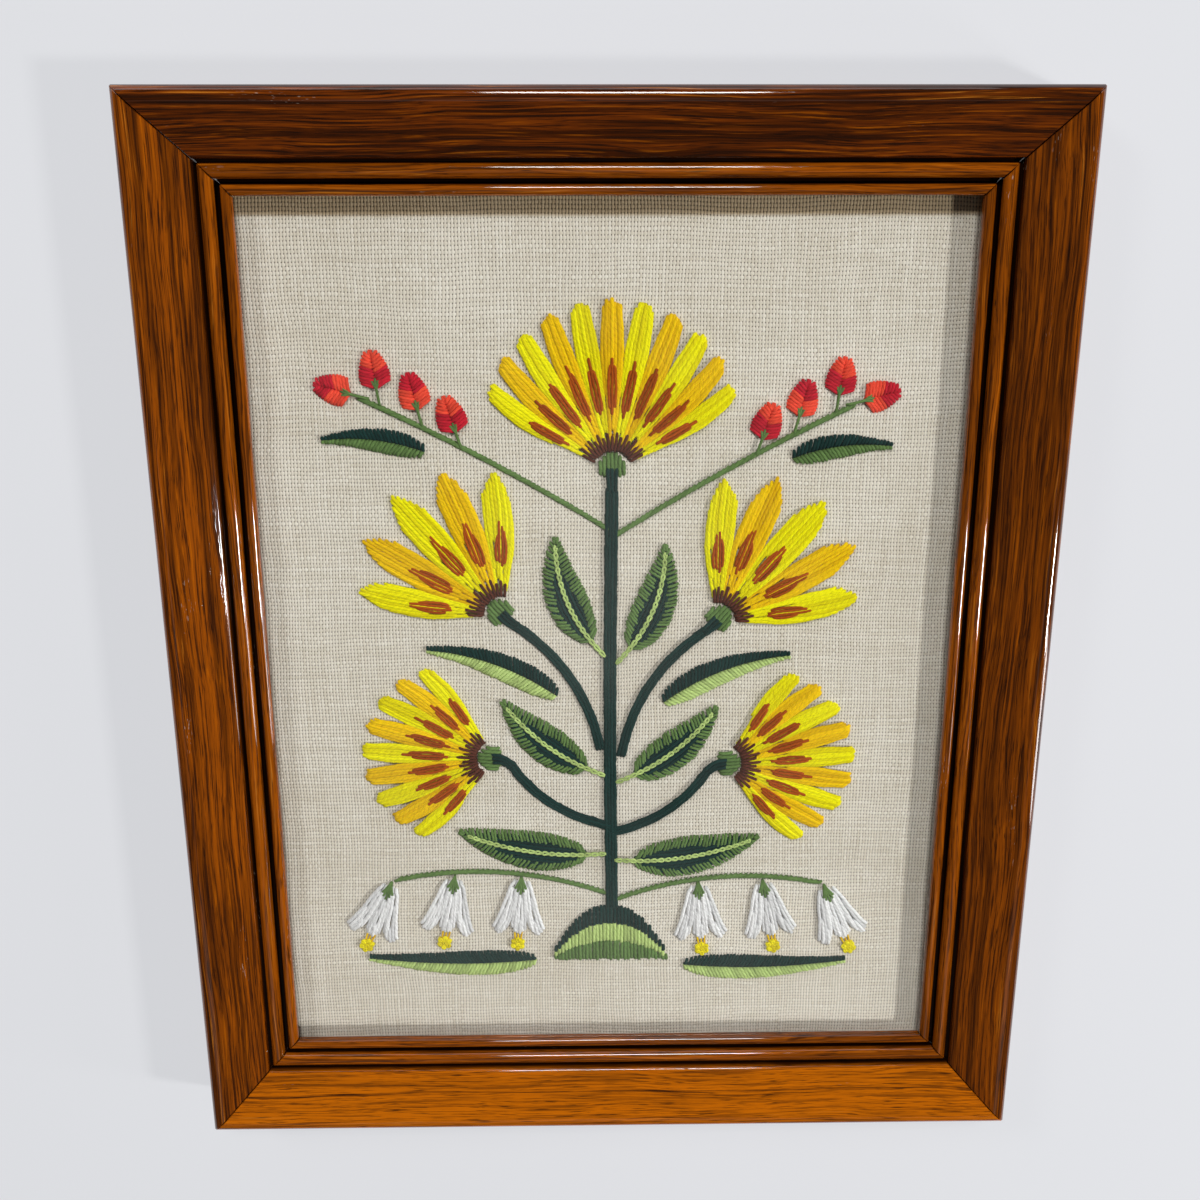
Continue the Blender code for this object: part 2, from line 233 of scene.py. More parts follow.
# Flower heads: name, end of the stem, sideways bend of the stalk from there, base, heading,
# spread, length, petals, notch depth, notch shape
TOP_HEAD = ("top", (1.0, 64.0), 0.0, (1.0, 72.0), 90.0, 124.0, 64.0, 11, 0.10, 2.0)
PAIRED_HEADS = (
    ("high", (-36.6, 10.4), 0.4, (-42.0, 15.0), 131.0, 98.0, 63.0, 5, 0.34, 1.5),
    ("mid", (-39.6, -49.0), -2.6, (-46.5, -45.5), 176.0, 112.0, 54.0, 9, 0.10, 2.0),
)
HEAD_INNER = 10.0
HEAD_SIDE_DROP = 0.16
CALYX_BACK = 2.0
CALYX_FRONT = HEAD_INNER - 3.2
CALYX_HALF_WIDTH = 5.8
STALK_SIDES = (-1.2, 0.0, 1.2)
STALK_FLARE = 1.4
STALK_LAYER = 0.5
CRESCENT_BACK = 2.2
CRESCENT_FRONT = (3.6, 5.5)
CRESCENT_SPREAD = 1.04
CRESCENT_LAYER = 0.92
# How much of its width a petal keeps at its tip, and up to how many petals are few
NARROW_TIP = 0.55
BROAD_TIP = 0.68
FEW_PETALS = 6

# Mound at the foot: middle of its base line, half width, height
MOUND = ((0.0, -138.0), 25.0, 24.0)
MOUND_END_HEIGHT = 1.2
MOUND_ROUNDNESS = 2.2
MOUND_BANDS = ((0.0, 0.36, "mid_green"), (0.34, 0.70, "light_green"), (0.67, 1.0, "dark_green"))

# Camera: place, turn as a rotation vector in radians, and lens
CAMERA_PLACE = (-9.8, 145.2, 461.6)
CAMERA_TURN = (-0.2666, -0.0136, -0.0040)
CAMERA_LENS = 36.0
SENSOR = 36.0
CLIP_START = 0.01

# Lights: name, place, aim, size, watts, colour
LIGHTS = (
    ("high", (200.0, 3600.0, 4600.0), (0.0, 0.0, 0.0), (1300.0, 1000.0), 136.0, (1.0, 0.98, 0.95)),
    ("right", (2150.0, -620.0, 1750.0), (0.0, 0.0, 0.0), (260.0, 260.0), 40.0, (1.0, 0.98, 0.95)),
    ("left", (-1500.0, 1500.0, 1600.0), (0.0, 0.0, 0.0), (600.0, 600.0), 14.0, (1.0, 0.98, 0.95)),
    ("side", (1450.0, -520.0, 480.0), (100.0, -20.0, 0.0), (260.0, 520.0), 6.0, (1.0, 1.0, 1.0)),
    ("far", (-200.0, 1500.0, 330.0), (0.0, 0.0, 0.0), (1600.0, 420.0), 4.0, (1.0, 1.0, 1.0)),
)
# Surroundings: a dim room with soft patches of light that the glass mirrors
ROOM_COLOUR = (1.0, 0.94, 0.86)
ROOM_STRENGTH = 0.055
# Patches: middle and reach in slopes to the side and towards the picture's foot, strength
PATCHES = (
    ((0.02, 0.25), (0.13, 0.17), 0.38),
    ((0.0, 0.66), (0.62, 0.17), 0.42),
    ((-0.05, 0.42), (0.30, 0.22), 0.10),
)
FLOOR_SIZE = 6000.0
FLOOR_Z = -0.2
FLOOR_CELLS = 4
FLOOR_DARK = (0.22, 0.223, 0.232)
FLOOR_PALE = (0.24, 0.243, 0.252)
FLOOR_GLOW = 0.57
FLOOR_GLOW_COLOUR = (0.93, 0.95, 1.0)

# Share of light that one face of the glass mirrors when looked at squarely
GLASS_MIRROR = 0.034

LINEN_PALE = (0.95, 0.91, 0.825)
LINEN_DULL = (0.69, 0.625, 0.51)
# Near-black painted shade between the threads and in the weave's holes
LINEN_GAP_SHADE = (0.035, 0.021, 0.010)
# Painted shade below the top rail: the linen there is darker and warmer, with wider dark gaps
LINEN_TOP_SHADE = (0.68, 0.56, 0.40)
TOP_SHADE_REACH = 7.5
WOOLS = {
    "lemon": (0.99, 0.86, 0.002),
    "gold": (0.99, 0.60, 0.002),
    "rust": (0.42, 0.085, 0.006),
    "brown": (0.115, 0.036, 0.022),
    "dark_green": (0.008, 0.038, 0.034),
    "mid_green": (0.13, 0.23, 0.070),
    "light_green": (0.50, 0.66, 0.23),
    "white": (0.87, 0.88, 0.90),
    "knot_yellow": (0.97, 0.80, 0.005),
    "crimson": (0.58, 0.016, 0.035),
    "orange_red": (0.92, 0.085, 0.045),
}
OAK_BROWN = (0.162, 0.0295, 0.0013)
OAK_AMBER = (0.57, 0.143, 0.0009)
OAK_STREAK = (0.022, 0.0055, 0.0015)
OAK_PORE = (0.012, 0.0035, 0.0015)
# Near-black painted shade for the grooves and quirks
OAK_RECESS_SHADE = (0.0022, 0.0010, 0.0008)
# Rubbed amber of worn and lit edges: partly wear, partly painted highlight
OAK_RUBBED_HIGHLIGHT = (0.58, 0.24, 0.03)
# Pale nicks: partly wear, partly painted glints
OAK_NICK_GLINT = (0.62, 0.50, 0.42)
BEAD_AMBER = 0.45
BEAD_DARKNESS = 0.55
GLASS_CLEAR = (0.994, 1.0, 0.997)
DUST = (0.85, 0.86, 0.86)
DUST_MOST = 0.006
BOARD_DARK = (0.26, 0.18, 0.105)
BOARD_PALE = (0.38, 0.285, 0.185)
BOARD_FIBRE = (0.47, 0.37, 0.25)
BOARD_FLECK = (0.12, 0.08, 0.05)
# Bump depths in millimetres
PORE_DEPTH = 0.03
VARNISH_DEPTH = 0.006
WEAVE_DEPTH = 0.28
WOOL_DEPTH = 0.18
# Wool's darker and paler tones as shares of its colour, and its painted shade in the crevices
WOOL_DARK = 0.76
WOOL_PALE = 1.12
WOOL_SHADE_SHARE = 0.30
WOOL_SHADE_POWER = 1.2
# Each rail's stain, with painted light and shade in it: how dark its figure is and how far
# its colour leans to amber, the top rail, facing away from the light, painted darkest and the
# bottom one, facing it, most amber; and how far in from the outer side a dark line runs along
# its face, or 0 for none
RAILS = (
    ("top", FRAME_WIDTH, FRAME_HEIGHT / 2.0, 0.0, 0.95, 0.05, 0.0),
    ("left", FRAME_HEIGHT, FRAME_WIDTH / 2.0, 90.0, 0.80, 0.32, 0.0),
    ("bottom", FRAME_WIDTH, FRAME_HEIGHT / 2.0, 180.0, 0.20, 0.95, 9.5),
    ("right", FRAME_HEIGHT, FRAME_WIDTH / 2.0, 270.0, 0.72, 0.32, 0.0),
)


# Materials


class Graph:
    """A node graph. Its calls add a node each and return the node's output."""

    def __init__(self, owner, shader):
        owner.use_nodes = True
        self.owner = owner
        self.tree = owner.node_tree
        self.shader = self.tree.nodes[shader]

    def feed(self, node, inputs):
        for key, value in inputs.items():
            if not isinstance(key, int):
                key = key.replace("_", " ")
            socket = node.inputs[key]
            if isinstance(value, bpy.types.NodeSocket):
                self.tree.links.new(value, socket)
            else:
                socket.default_value = value

    def node(self, kind, inputs, output=0, **settings):
        made = self.tree.nodes.new("ShaderNode" + kind)
        for key, value in settings.items():
            setattr(made, key, value)
        self.feed(made, inputs)
        return made.outputs[output]

    def calc(self, operation, *values):
        return self.node("Math", dict(enumerate(values)), operation=operation)

    def mix(self, share, first, second, blend="MIX"):
        inputs = {0: share, 6: first, 7: second}
        return self.node("Mix", inputs, output=2, data_type="RGBA", blend_type=blend)

    def ramp(self, value, low, high, start=0.0, end=1.0):
        """start where value is at or below low, end where it is at or above high."""
        inputs = {"Value": value, "From_Min": low, "From_Max": high, "To_Min": start, "To_Max": end}
        return self.node("MapRange", inputs, interpolation_type="SMOOTHSTEP")

    def noise(self, place, scale, detail=2.0, rough=0.5):
        inputs = {"Vector": place, "Scale": scale, "Detail": detail, "Roughness": rough}
        return self.node("TexNoise", inputs)

    def scaled(self, place, scale, shift=(0.0, 0.0, 0.0)):
        inputs = {0: place, 1: scale, 2: shift}
        return self.node("VectorMath", inputs, operation="MULTIPLY_ADD")

    def split(self, place):
        made = self.tree.nodes.new("ShaderNodeSeparateXYZ")
        self.feed(made, {0: place})
        return made.outputs[:]

    def joined(self, x=0.0, y=0.0, z=0.0):
        return self.node("CombineXYZ", {0: x, 1: y, 2: z})

    def place(self):
        """Place on the object, in millimetres."""
        found = self.node("TexCoord", {}, output=3)
        return self.scaled(found, (1000.0,) * 3)

    def attribute(self, name, output=2):
        return self.node("Attribute", {}, output=output, attribute_name=name)

    def bump(self, height, depth):
        """Height runs from 0 to 1 and stands for depth in millimetres."""
        inputs = {"Height": height, "Distance": depth * MM, "Strength": 1.0}
        return self.node("Bump", inputs)


def opaque(colour):
    return (*colour, 1.0)


def material_graph(name, **inputs):
    graph = Graph(bpy.data.materials.new(name), "Principled BSDF")
    graph.feed(graph.shader, inputs)
    return graph


def oak(name, painted_rail_shade, painted_rail_light, line_at):
    """Stained oak under glossy varnish: pores and darker growth bands run along the rail. Its colour also
    holds painted light and shade per rail, painted shade in the grooves and, in part, painted highlights on
    rubbed edges and nicks.
    """
    graph = material_graph("oak_" + name)
    bead = graph.attribute("bead")
    grain = graph.attribute("grain", output=1)
    recess_shade = graph.attribute("recess_shade")
    wear_and_highlight = graph.attribute("wear_and_highlight")
    bent = graph.noise(graph.scaled(grain, (0.010, 0.04, 0.04)), 1.0, 2.0)
    across = graph.joined(y=graph.calc("MULTIPLY", bent, 9.0))
    wood = graph.node("VectorMath", {0: grain, 1: across}, operation="ADD")
    bands = graph.noise(graph.scaled(wood, (0.005, 0.24, 0.24)), 1.0, 2.0, 0.6)
    streaks = graph.noise(graph.scaled(wood, (0.020, 1.15, 1.15)), 1.0, 3.0, 0.65)
    pores = graph.noise(graph.scaled(wood, (0.075, 2.6, 2.6)), 1.0, 2.0, 0.6)
    # Painted light and shade per rail: the rail's figure darkness and amber lean; the beads take shared
    # values
    painted_lean = graph.node("Mix", {0: bead, 2: painted_rail_light, 3: BEAD_AMBER}, data_type="FLOAT")
    depth = graph.node("Mix", {0: bead, 2: painted_rail_shade, 3: BEAD_DARKNESS}, data_type="FLOAT")
    light = graph.mix(painted_lean, opaque(OAK_BROWN), opaque(OAK_AMBER))
    deep = graph.mix(1.0, light, opaque((0.24, 0.24, 0.24)), "MULTIPLY")
    shade = graph.calc("MULTIPLY", graph.ramp(bands, 0.62, 0.36), depth)
    body = graph.mix(shade, light, deep)
    streak = graph.calc("MULTIPLY", graph.ramp(streaks, 0.54, 0.36),
                        graph.calc("MULTIPLY_ADD", depth, 0.5, 0.45))
    body = graph.mix(streak, body, opaque(OAK_STREAK))
    if line_at:
        _, height_on_face, _ = graph.split(wood)
        away = graph.calc("ABSOLUTE", graph.calc("SUBTRACT", height_on_face, line_at))
        line = graph.calc("MULTIPLY", graph.ramp(away, 0.9, 0.2), graph.ramp(streaks, 0.62, 0.42, 0.2, 0.9))
        body = graph.mix(line, body, opaque(OAK_STREAK))
    body = graph.mix(graph.ramp(streaks, 0.55, 0.75, 0.0, 0.55), body, opaque(OAK_AMBER))
    pore = graph.ramp(pores, 0.46, 0.32)
    body = graph.mix(graph.calc("MULTIPLY", pore, 0.8), body, opaque(OAK_PORE))
    # Painted shade: the grooves and quirks are painted near-black
    body = graph.mix(graph.calc("MULTIPLY", recess_shade, 0.97), body, opaque(OAK_RECESS_SHADE))
    # Rubbed amber on the outer round, the eased corner and the bead crests: partly wear, partly painted
    # highlight
    rubbed_and_lit = graph.calc("MULTIPLY", wear_and_highlight, graph.ramp(streaks, 0.60, 0.72, 0.0, 0.45))
    body = graph.mix(rubbed_and_lit, body, opaque(OAK_RUBBED_HIGHLIGHT))
    # Sparse pale nicks along the grain: partly wear in the varnish, partly painted glints
    nick_glints = graph.noise(graph.scaled(wood, (0.35, 3.2, 3.2), (7.0, 3.0, 0.0)), 1.0, 1.0)
    spots = graph.noise(graph.scaled(wood, (0.012, 0.10, 0.10), (3.0, 9.0, 0.0)), 1.0, 1.0)
    nick_glint = graph.calc("MULTIPLY", graph.ramp(nick_glints, 0.68, 0.75), graph.ramp(spots, 0.66, 0.74, 0.0, 0.7))
    body = graph.mix(nick_glint, body, opaque(OAK_NICK_GLINT))
    height = graph.calc("MULTIPLY_ADD", pore, -0.5, bands)
    graph.feed(graph.shader, {
        "Base_Color": body,
        "Roughness": graph.ramp(streaks, 0.3, 0.7, 0.5, 0.34),
        "Specular_IOR_Level": 0.0,
        "Coat_Weight": graph.calc("MULTIPLY_ADD", recess_shade, -0.9, 1.0),
        "Coat_Roughness": 0.05,
        "Coat_IOR": 1.48,
        "Normal": graph.bump(height, PORE_DEPTH),
        "Coat_Normal": graph.bump(height, VARNISH_DEPTH),
    })
    return graph.owner


def linen():
    """Open plain weave: uneven round threads that pass over and under, with painted shade in the gaps
    between them.
    """
    graph = material_graph("linen_weave", Roughness=0.92, Specular_IOR_Level=0.25, Sheen_Weight=0.15)
    column, row, _ = graph.split(graph.attribute("weave", output=1))

    def thread(cell, other_cell, fill, seed):
        """Cover, dome, rise over the other threads and tone of one set of threads."""
        number = graph.calc("FLOOR", cell)
        own = graph.node("TexWhiteNoise", {"W": graph.calc("ADD", number, seed)},
                         noise_dimensions="1D")
        run = graph.joined(graph.calc("MULTIPLY", number, 7.31),
                           graph.calc("MULTIPLY", other_cell, 0.11), seed)
        slub = graph.noise(run, 1.0, 2.0, 0.7)
        width = graph.calc("MULTIPLY_ADD", graph.calc("SUBTRACT", slub, 0.5), SLUB_SWELL, fill)
        aside = graph.calc("ABSOLUTE",
                           graph.calc("MULTIPLY_ADD", graph.calc("FRACT", cell), 2.0, -1.0))
        inside = graph.calc("DIVIDE", aside, width)
        cover = graph.ramp(inside, 1.05, 0.85)
        dome = graph.calc("SUBTRACT", 1.0, graph.calc("MULTIPLY", inside, inside))
        sign = graph.calc("MULTIPLY_ADD", graph.calc("FLOORED_MODULO", number, 2.0), -2.0, 1.0)
        wave = graph.calc("SINE", graph.calc("MULTIPLY", other_cell, math.pi))
        tone = graph.calc("MULTIPLY_ADD", slub, 0.42, graph.calc("MULTIPLY", own, 0.14))
        return cover, dome, graph.calc("MULTIPLY", sign, wave), tone

    def height(cover, dome, over, turn, base):
        risen = graph.calc("MULTIPLY_ADD", over, 0.36 * turn,
                           graph.calc("MULTIPLY_ADD", dome, 0.36, base))
        return graph.calc("MULTIPLY", cover, graph.calc("MAXIMUM", risen, 0.0))

    *upright, up_tone = thread(column, row, WARP_FILL, 3.0)
    *level, level_tone = thread(row, column, WEFT_FILL, 40.0)
    up_height, level_height = height(*upright, 1.0, 0.30), height(*level, -1.0, 0.13)
    top = graph.calc("MAXIMUM", up_height, level_height)
    on_top = graph.calc("GREATER_THAN", up_height, level_height)
    tone = graph.node("Mix", {0: on_top, 2: level_tone, 3: up_tone}, data_type="FLOAT")
    stains = graph.noise(graph.scaled(graph.place(), (0.016, 0.016, 1.0)), 1.0, 3.0, 0.6)
    tone = graph.calc("MULTIPLY_ADD", stains, 0.26, tone)
    colour = graph.mix(graph.ramp(tone, 0.14, 0.70), opaque(LINEN_DULL), opaque(LINEN_PALE))
    _, y, _ = graph.split(graph.place())
    # Painted shade of the top rail on the linen: a band below it darkened and warmed, its gaps widened
    top_rail_shade = graph.ramp(y, SIGHT_HEIGHT / 2.0 - TOP_SHADE_REACH, SIGHT_HEIGHT / 2.0 - 0.7 * TOP_SHADE_REACH)
    colour = graph.mix(top_rail_shade, colour, opaque(LINEN_TOP_SHADE), "MULTIPLY")
    # Painted shade where the threads are low: between them and in the holes
    gap_shade = graph.node("MapRange", {
        "Value": top,
        "From_Min": graph.calc("MULTIPLY_ADD", top_rail_shade, 0.30, 0.52),
        "From_Max": 0.04,
    }, interpolation_type="SMOOTHSTEP")
    colour = graph.mix(gap_shade, colour, opaque(LINEN_GAP_SHADE))
    graph.feed(graph.shader, {"Base_Color": colour, "Normal": graph.bump(top, WEAVE_DEPTH)})
    return graph.owner


def wool(name, colour):
    """Soft two-ply wool with painted shade in the grooves between its plies and on the strands' lower
    flanks, each strand a little lighter or darker.
    """
    graph = material_graph("wool_" + name, Roughness=0.9, Specular_IOR_Level=0.08,
                           Sheen_Weight=0.06, Sheen_Roughness=0.5)
    groove = graph.attribute("groove")
    flank_shade = graph.attribute("flank_shade")
    tone = graph.attribute("tone")
    fibre = graph.noise(graph.attribute("fibre", output=1), 1.0, 2.0, 0.7)
    shade = graph.calc("MULTIPLY_ADD", fibre, 0.8, graph.calc("MULTIPLY", tone, 0.4))
    dark = [WOOL_DARK * value for value in colour]
    pale = [min(1.0, WOOL_PALE * value) for value in colour]
    deep = [WOOL_SHADE_SHARE * value**WOOL_SHADE_POWER for value in colour]
    body = graph.mix(graph.ramp(shade, 0.30, 0.80), opaque(dark), opaque(pale))
    # Painted shade in the grooves between the plies and on the strands' lower flanks
    body = graph.mix(graph.ramp(groove, 0.40, 1.0, 0.0, 0.30), body, opaque(deep))
    body = graph.mix(graph.ramp(flank_shade, 0.26, 0.66, 0.0, 0.62), body, opaque(deep))
    height = graph.calc("MULTIPLY_ADD", groove, -0.4, fibre)
    graph.feed(graph.shader, {"Base_Color": body, "Normal": graph.bump(height, WOOL_DEPTH)})
    return graph.owner


def glass():
    """Clear picture glass with a faint uneven film of dust."""
    graph = material_graph("glass")
    film = graph.noise(graph.scaled(graph.place(), (0.03, 0.05, 0.0)), 1.0, 1.0)
    clear = graph.node("BsdfTransparent", {"Color": opaque(GLASS_CLEAR)})
    gloss = graph.node("BsdfGlossy", {"Roughness": graph.ramp(film, 0.3, 0.7, 0.01, 0.04)})
    dust = graph.node("BsdfDiffuse", {"Color": opaque(DUST)})
    facing = graph.node("LayerWeight", {"Blend": 0.5}, output=1)
    mirrored_share = graph.calc("MULTIPLY_ADD", graph.calc("POWER", facing, 5.0),
                                1.0 - GLASS_MIRROR, GLASS_MIRROR)
    surface = graph.node("MixShader", {0: mirrored_share, 1: clear, 2: gloss})
    dusty = graph.ramp(film, 0.3, 0.8, 0.0, DUST_MOST)
    surface = graph.node("MixShader", {0: dusty, 1: surface, 2: dust})
    graph.tree.nodes.remove(graph.shader)
    graph.tree.links.new(surface, graph.tree.nodes["Material Output"].inputs["Surface"])
    return graph.owner


def board():
    """Grey-brown pressed board with fibres, flecks and a little scuffing."""
    graph = material_graph("mounting_board", Roughness=0.88, Specular_IOR_Level=0.2)
    place = graph.place()
    cloud = graph.noise(graph.scaled(place, (0.02, 0.02, 0.02)), 1.0, 3.0)
    fibre = graph.noise(graph.scaled(place, (0.5, 2.4, 1.0)), 1.0, 4.0, 0.7)
    fleck = graph.noise(graph.scaled(place, (1.3, 1.3, 1.0)), 1.0, 1.0)
    colour = graph.mix(cloud, opaque(BOARD_DARK), opaque(BOARD_PALE))
    colour = graph.mix(graph.ramp(fibre, 0.4, 0.65, 0.0, 0.5), colour, opaque(BOARD_FIBRE))
    colour = graph.mix(graph.ramp(fleck, 0.66, 0.72, 0.0, 0.7), colour, opaque(BOARD_FLECK))
    graph.feed(graph.shader, {"Base_Color": colour, "Normal": graph.bump(fibre, 0.12)})
    return graph.owner


def floor_finish():
    """Plain pale matt surface with a faint glow, like a light table."""
    graph = material_graph("floor_paint", Roughness=0.75, Specular_IOR_Level=0.2)
    place = graph.place()
    cloud = graph.noise(graph.scaled(place, (0.004, 0.004, 0.0)), 1.0, 2.0)
    colour = graph.mix(cloud, opaque(FLOOR_DARK), opaque(FLOOR_PALE))
    graph.feed(graph.shader, {
        "Base_Color": colour,
        "Emission_Color": opaque(FLOOR_GLOW_COLOUR),
        "Emission_Strength": FLOOR_GLOW,
    })
    return graph.owner


# Meshes


def mesh_object(name, vertices, faces, materials):
    """An object from points in millimetres."""
    mesh = bpy.data.meshes.new(name)
    mesh.from_pydata(np.asarray(vertices) * MM, [], faces)
    mesh.shade_smooth()
    for item in materials:
        mesh.materials.append(item)
    made = bpy.data.objects.new(name, mesh)
    bpy.context.scene.collection.objects.link(made)
    return made


def add_attribute(mesh, name, values, kind="FLOAT"):
    field = "vector" if kind == "FLOAT_VECTOR" else "value"
    made = mesh.attributes.new(name, kind, "POINT")
    made.data.foreach_set(field, np.asarray(values, np.float32).ravel())


def arc(centre, radius, start, end, steps=ARC_STEPS):
    """Points of an arc in the moulding's plane, angles from inwards to up."""
    angles = np.radians(np.linspace(start, end, steps + 1))
    return [(centre[0] + radius * math.cos(a), centre[1] + radius * math.sin(a)) for a in angles]


def eased(before, corner, after):
    """The corner's points, rounded over."""
    corner = np.array(corner)
    near, far = [corner + (np.array(p) - corner) / np.linalg.norm(np.array(p) - corner) * CORNER_EASE
                 for p in (before, after)]
    shares = np.linspace(0.0, 1.0, EASE_STEPS + 1)
    return [tuple((1 - s) ** 2 * near + 2 * s * (1 - s) * corner + s * s * far) for s in shares]


def moulding_section():
    """The moulding's section as rows of inset, height, painted shade of its recesses, wear with painted
    highlight, and whether on a bead.
    """
    slope = math.degrees(math.atan2(FACE_END[1] - FACE_START[1], FACE_END[0] - FACE_START[0]))
    rows = [(BACK_CHAMFER, 0.0, 0.1, 0.0, 0.0), (0.0, BACK_CHAMFER, 0.1, 0.0, 0.0)]
    outer = arc(end=slope + 90.0, **OUTER_ROUND)
    rows += [(s, h, 0.0, 1.0, 0.0) for s, h in outer]
    corner = eased(outer[-1], FACE_END, QUIRK_FLOOR[0])
    face = np.linspace(outer[-1], corner[0], FACE_STEPS + 1)[1:-1]
    rows += [(s, h, 0.0, 0.0, 0.0) for s, h in face]
    rows += [(s, h, 0.35 * i / EASE_STEPS, 0.4, 0.0) for i, (s, h) in enumerate(corner)]
    rows += [(s, h, 1.0, 0.0, 1.0) for s, h in QUIRK_FLOOR]
    for bead, floor in ((BEAD_1, GROOVE_FLOOR), (BEAD_2, ())):
        points = arc(**bead)
        for i, (s, h) in enumerate(points):
            share = i / ARC_STEPS
            sunk = max(0.0, 1.0 - 7.0 * share, 7.0 * share - 6.0 if floor else 0.0)
            rows.append((s, h, sunk, 1.0 - abs(2.0 * share - 1.0), 1.0))
        rows += [(s, h, 1.0, 0.0, 1.0) for s, h in floor]
    lip = eased(rows[-1][:2], (SIGHT_INSET, LIP_BOTTOM_Z), (RABBET_INSET, LIP_BOTTOM_Z))
    rows += [(s, h, 0.2, 0.0, 1.0) for s, h in lip]
    rows += [(RABBET_INSET, LIP_BOTTOM_Z, 0.3, 0.0, 1.0), (RABBET_INSET, 0.0, 0.1, 0.0, 0.0)]
    return np.array(rows)


def shrunk(section, amount):
    """The section's points moved inwards by amount, for the rail's eased ends."""
    before, after = np.roll(section, 1, axis=0), np.roll(section, -1, axis=0)
    run = after - before
    run /= np.linalg.norm(run, axis=1, keepdims=True)
    # The section runs clockwise seen from the rail's far end, so its inside is to the right
    return section + amount * np.column_stack((run[:, 1], -run[:, 0]))


def add_rail(name, outer_length, distance, turn, painted_rail_shade, painted_rail_light, line_inset):
    """A mitred rail along X with its section at -Y from its outer side, then turned into place."""
    rows = moulding_section()
    section, recess_shade, wear_and_highlight, bead = rows[:, :2], rows[:, 2], rows[:, 3], rows[:, 4]
    reach = outer_length / 2.0 - section[:, 0] - GAP / 2.0 * math.sqrt(2.0)
    count = round(outer_length / RAIL_STEP)
    seed = turn * 3.7
    rings = [(shrunk(section, MITRE_EASE), -reach)]
    for share in np.linspace(-1.0, 1.0, count + 1):
        along = share * (reach - MITRE_EASE)
        heights = section[:, 1].copy()
        for i, (inset, height) in enumerate(section):
            if height > LIP_BOTTOM_Z + 1.0:
                spot = Vector((along[i] / 28.0 + seed, inset / 5.0, height / 5.0))
                heights[i] += WOOD_WOBBLE * noise.noise(spot)
        rings.append((np.column_stack((section[:, 0], heights)), along))
    rings.append((shrunk(section, MITRE_EASE), reach))
    size = len(section)
    local = np.concatenate([np.column_stack((along, -ring[:, 0], ring[:, 1])) for ring, along in rings])
    faces = [tuple(range(size))[::-1], tuple(range((len(rings) - 1) * size, len(rings) * size))]
    for i in range(len(rings) - 1):
        for j in range(size):
            near, far = i * size, (i + 1) * size
            following = (j + 1) % size
            faces.append((near + j, near + following, far + following, far + j))
    angle = math.radians(turn)
    turned = local.copy()
    turned[:, 0] = math.cos(angle) * local[:, 0] - math.sin(angle) * (local[:, 1] + distance)
    turned[:, 1] = math.sin(angle) * local[:, 0] + math.cos(angle) * (local[:, 1] + distance)
    shift = (turn * 11.0, turn * 5.0, turn)
    line_at = shift[1] - line_inset if line_inset else 0.0
    rail = mesh_object(f"rail_{name}_oak", turned, faces, [oak(name, painted_rail_shade, painted_rail_light, line_at)])
    rail.data.set_sharp_from_angle(angle=math.radians(RAIL_SHARP))
    add_attribute(rail.data, "grain", local + shift, "FLOAT_VECTOR")
    add_attribute(rail.data, "recess_shade", np.tile(recess_shade, len(rings)))
    add_attribute(rail.data, "wear_and_highlight", np.tile(wear_and_highlight, len(rings)))
    add_attribute(rail.data, "bead", np.tile(bead, len(rings)))
    keep(rail, "oak", f"rail_{name}")


def keep(piece, slot, *nodes):
    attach(piece, BODY)
    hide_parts(*nodes)


def add_linen():
    """The taut sheet, very slightly wavy, closed by a flat underside."""
    width, height = LINEN_SIZE
    columns, rows = round(width / LINEN_STEP), round(height / LINEN_STEP)
    xs = np.linspace(-width / 2.0, width / 2.0, columns + 1)
    ys = np.linspace(-height / 2.0, height / 2.0, rows + 1)
    top, under, weave = [], [], []
    for y in ys:
        for x in xs:
            wave = noise.fractal(Vector((x / 38.0, y / 38.0, 0.0)), 0.8, 2.0, 3)
            top.append((x, y, LINEN_TOP_Z + LINEN_WAVE * max(-1.0, min(1.0, wave))))
            under.append((x, y, LINEN_BOTTOM_Z))
            drift = noise.noise_vector(Vector((x / 55.0, y / 55.0, 4.0)))
            drift += 0.3 * noise.noise_vector(Vector((x / 12.0, y / 12.0, 9.0)))
            weave.append(((x + THREAD_DRIFT * drift.x) / WARP_PITCH,
                          (y + THREAD_DRIFT * drift.y) / WEFT_PITCH, 0.0))
    line = columns + 1
    offset = len(top)
    faces = []
    for i in range(rows):
        for j in range(columns):
            a = i * line + j
            faces.append((a, a + 1, a + line + 1, a + line))
            faces.append((offset + a, offset + a + line, offset + a + line + 1, offset + a + 1))
    rim = list(range(columns))
    rim += [i * line + columns for i in range(rows)]
    rim += [rows * line + j for j in range(columns, 0, -1)]
    rim += [i * line for i in range(rows, 0, -1)]
    faces += [(a, offset + a, offset + b, b) for a, b in zip(rim, rim[1:] + rim[:1])]
    sheet = mesh_object("linen_cloth", top + under, faces, [linen()])
    sheet.data.set_sharp_from_angle(angle=math.radians(LINEN_SHARP))
    add_attribute(sheet.data, "weave", weave + weave, "FLOAT_VECTOR")
    keep(sheet, "linen", "linen_ground")


# Wool strands and stitches


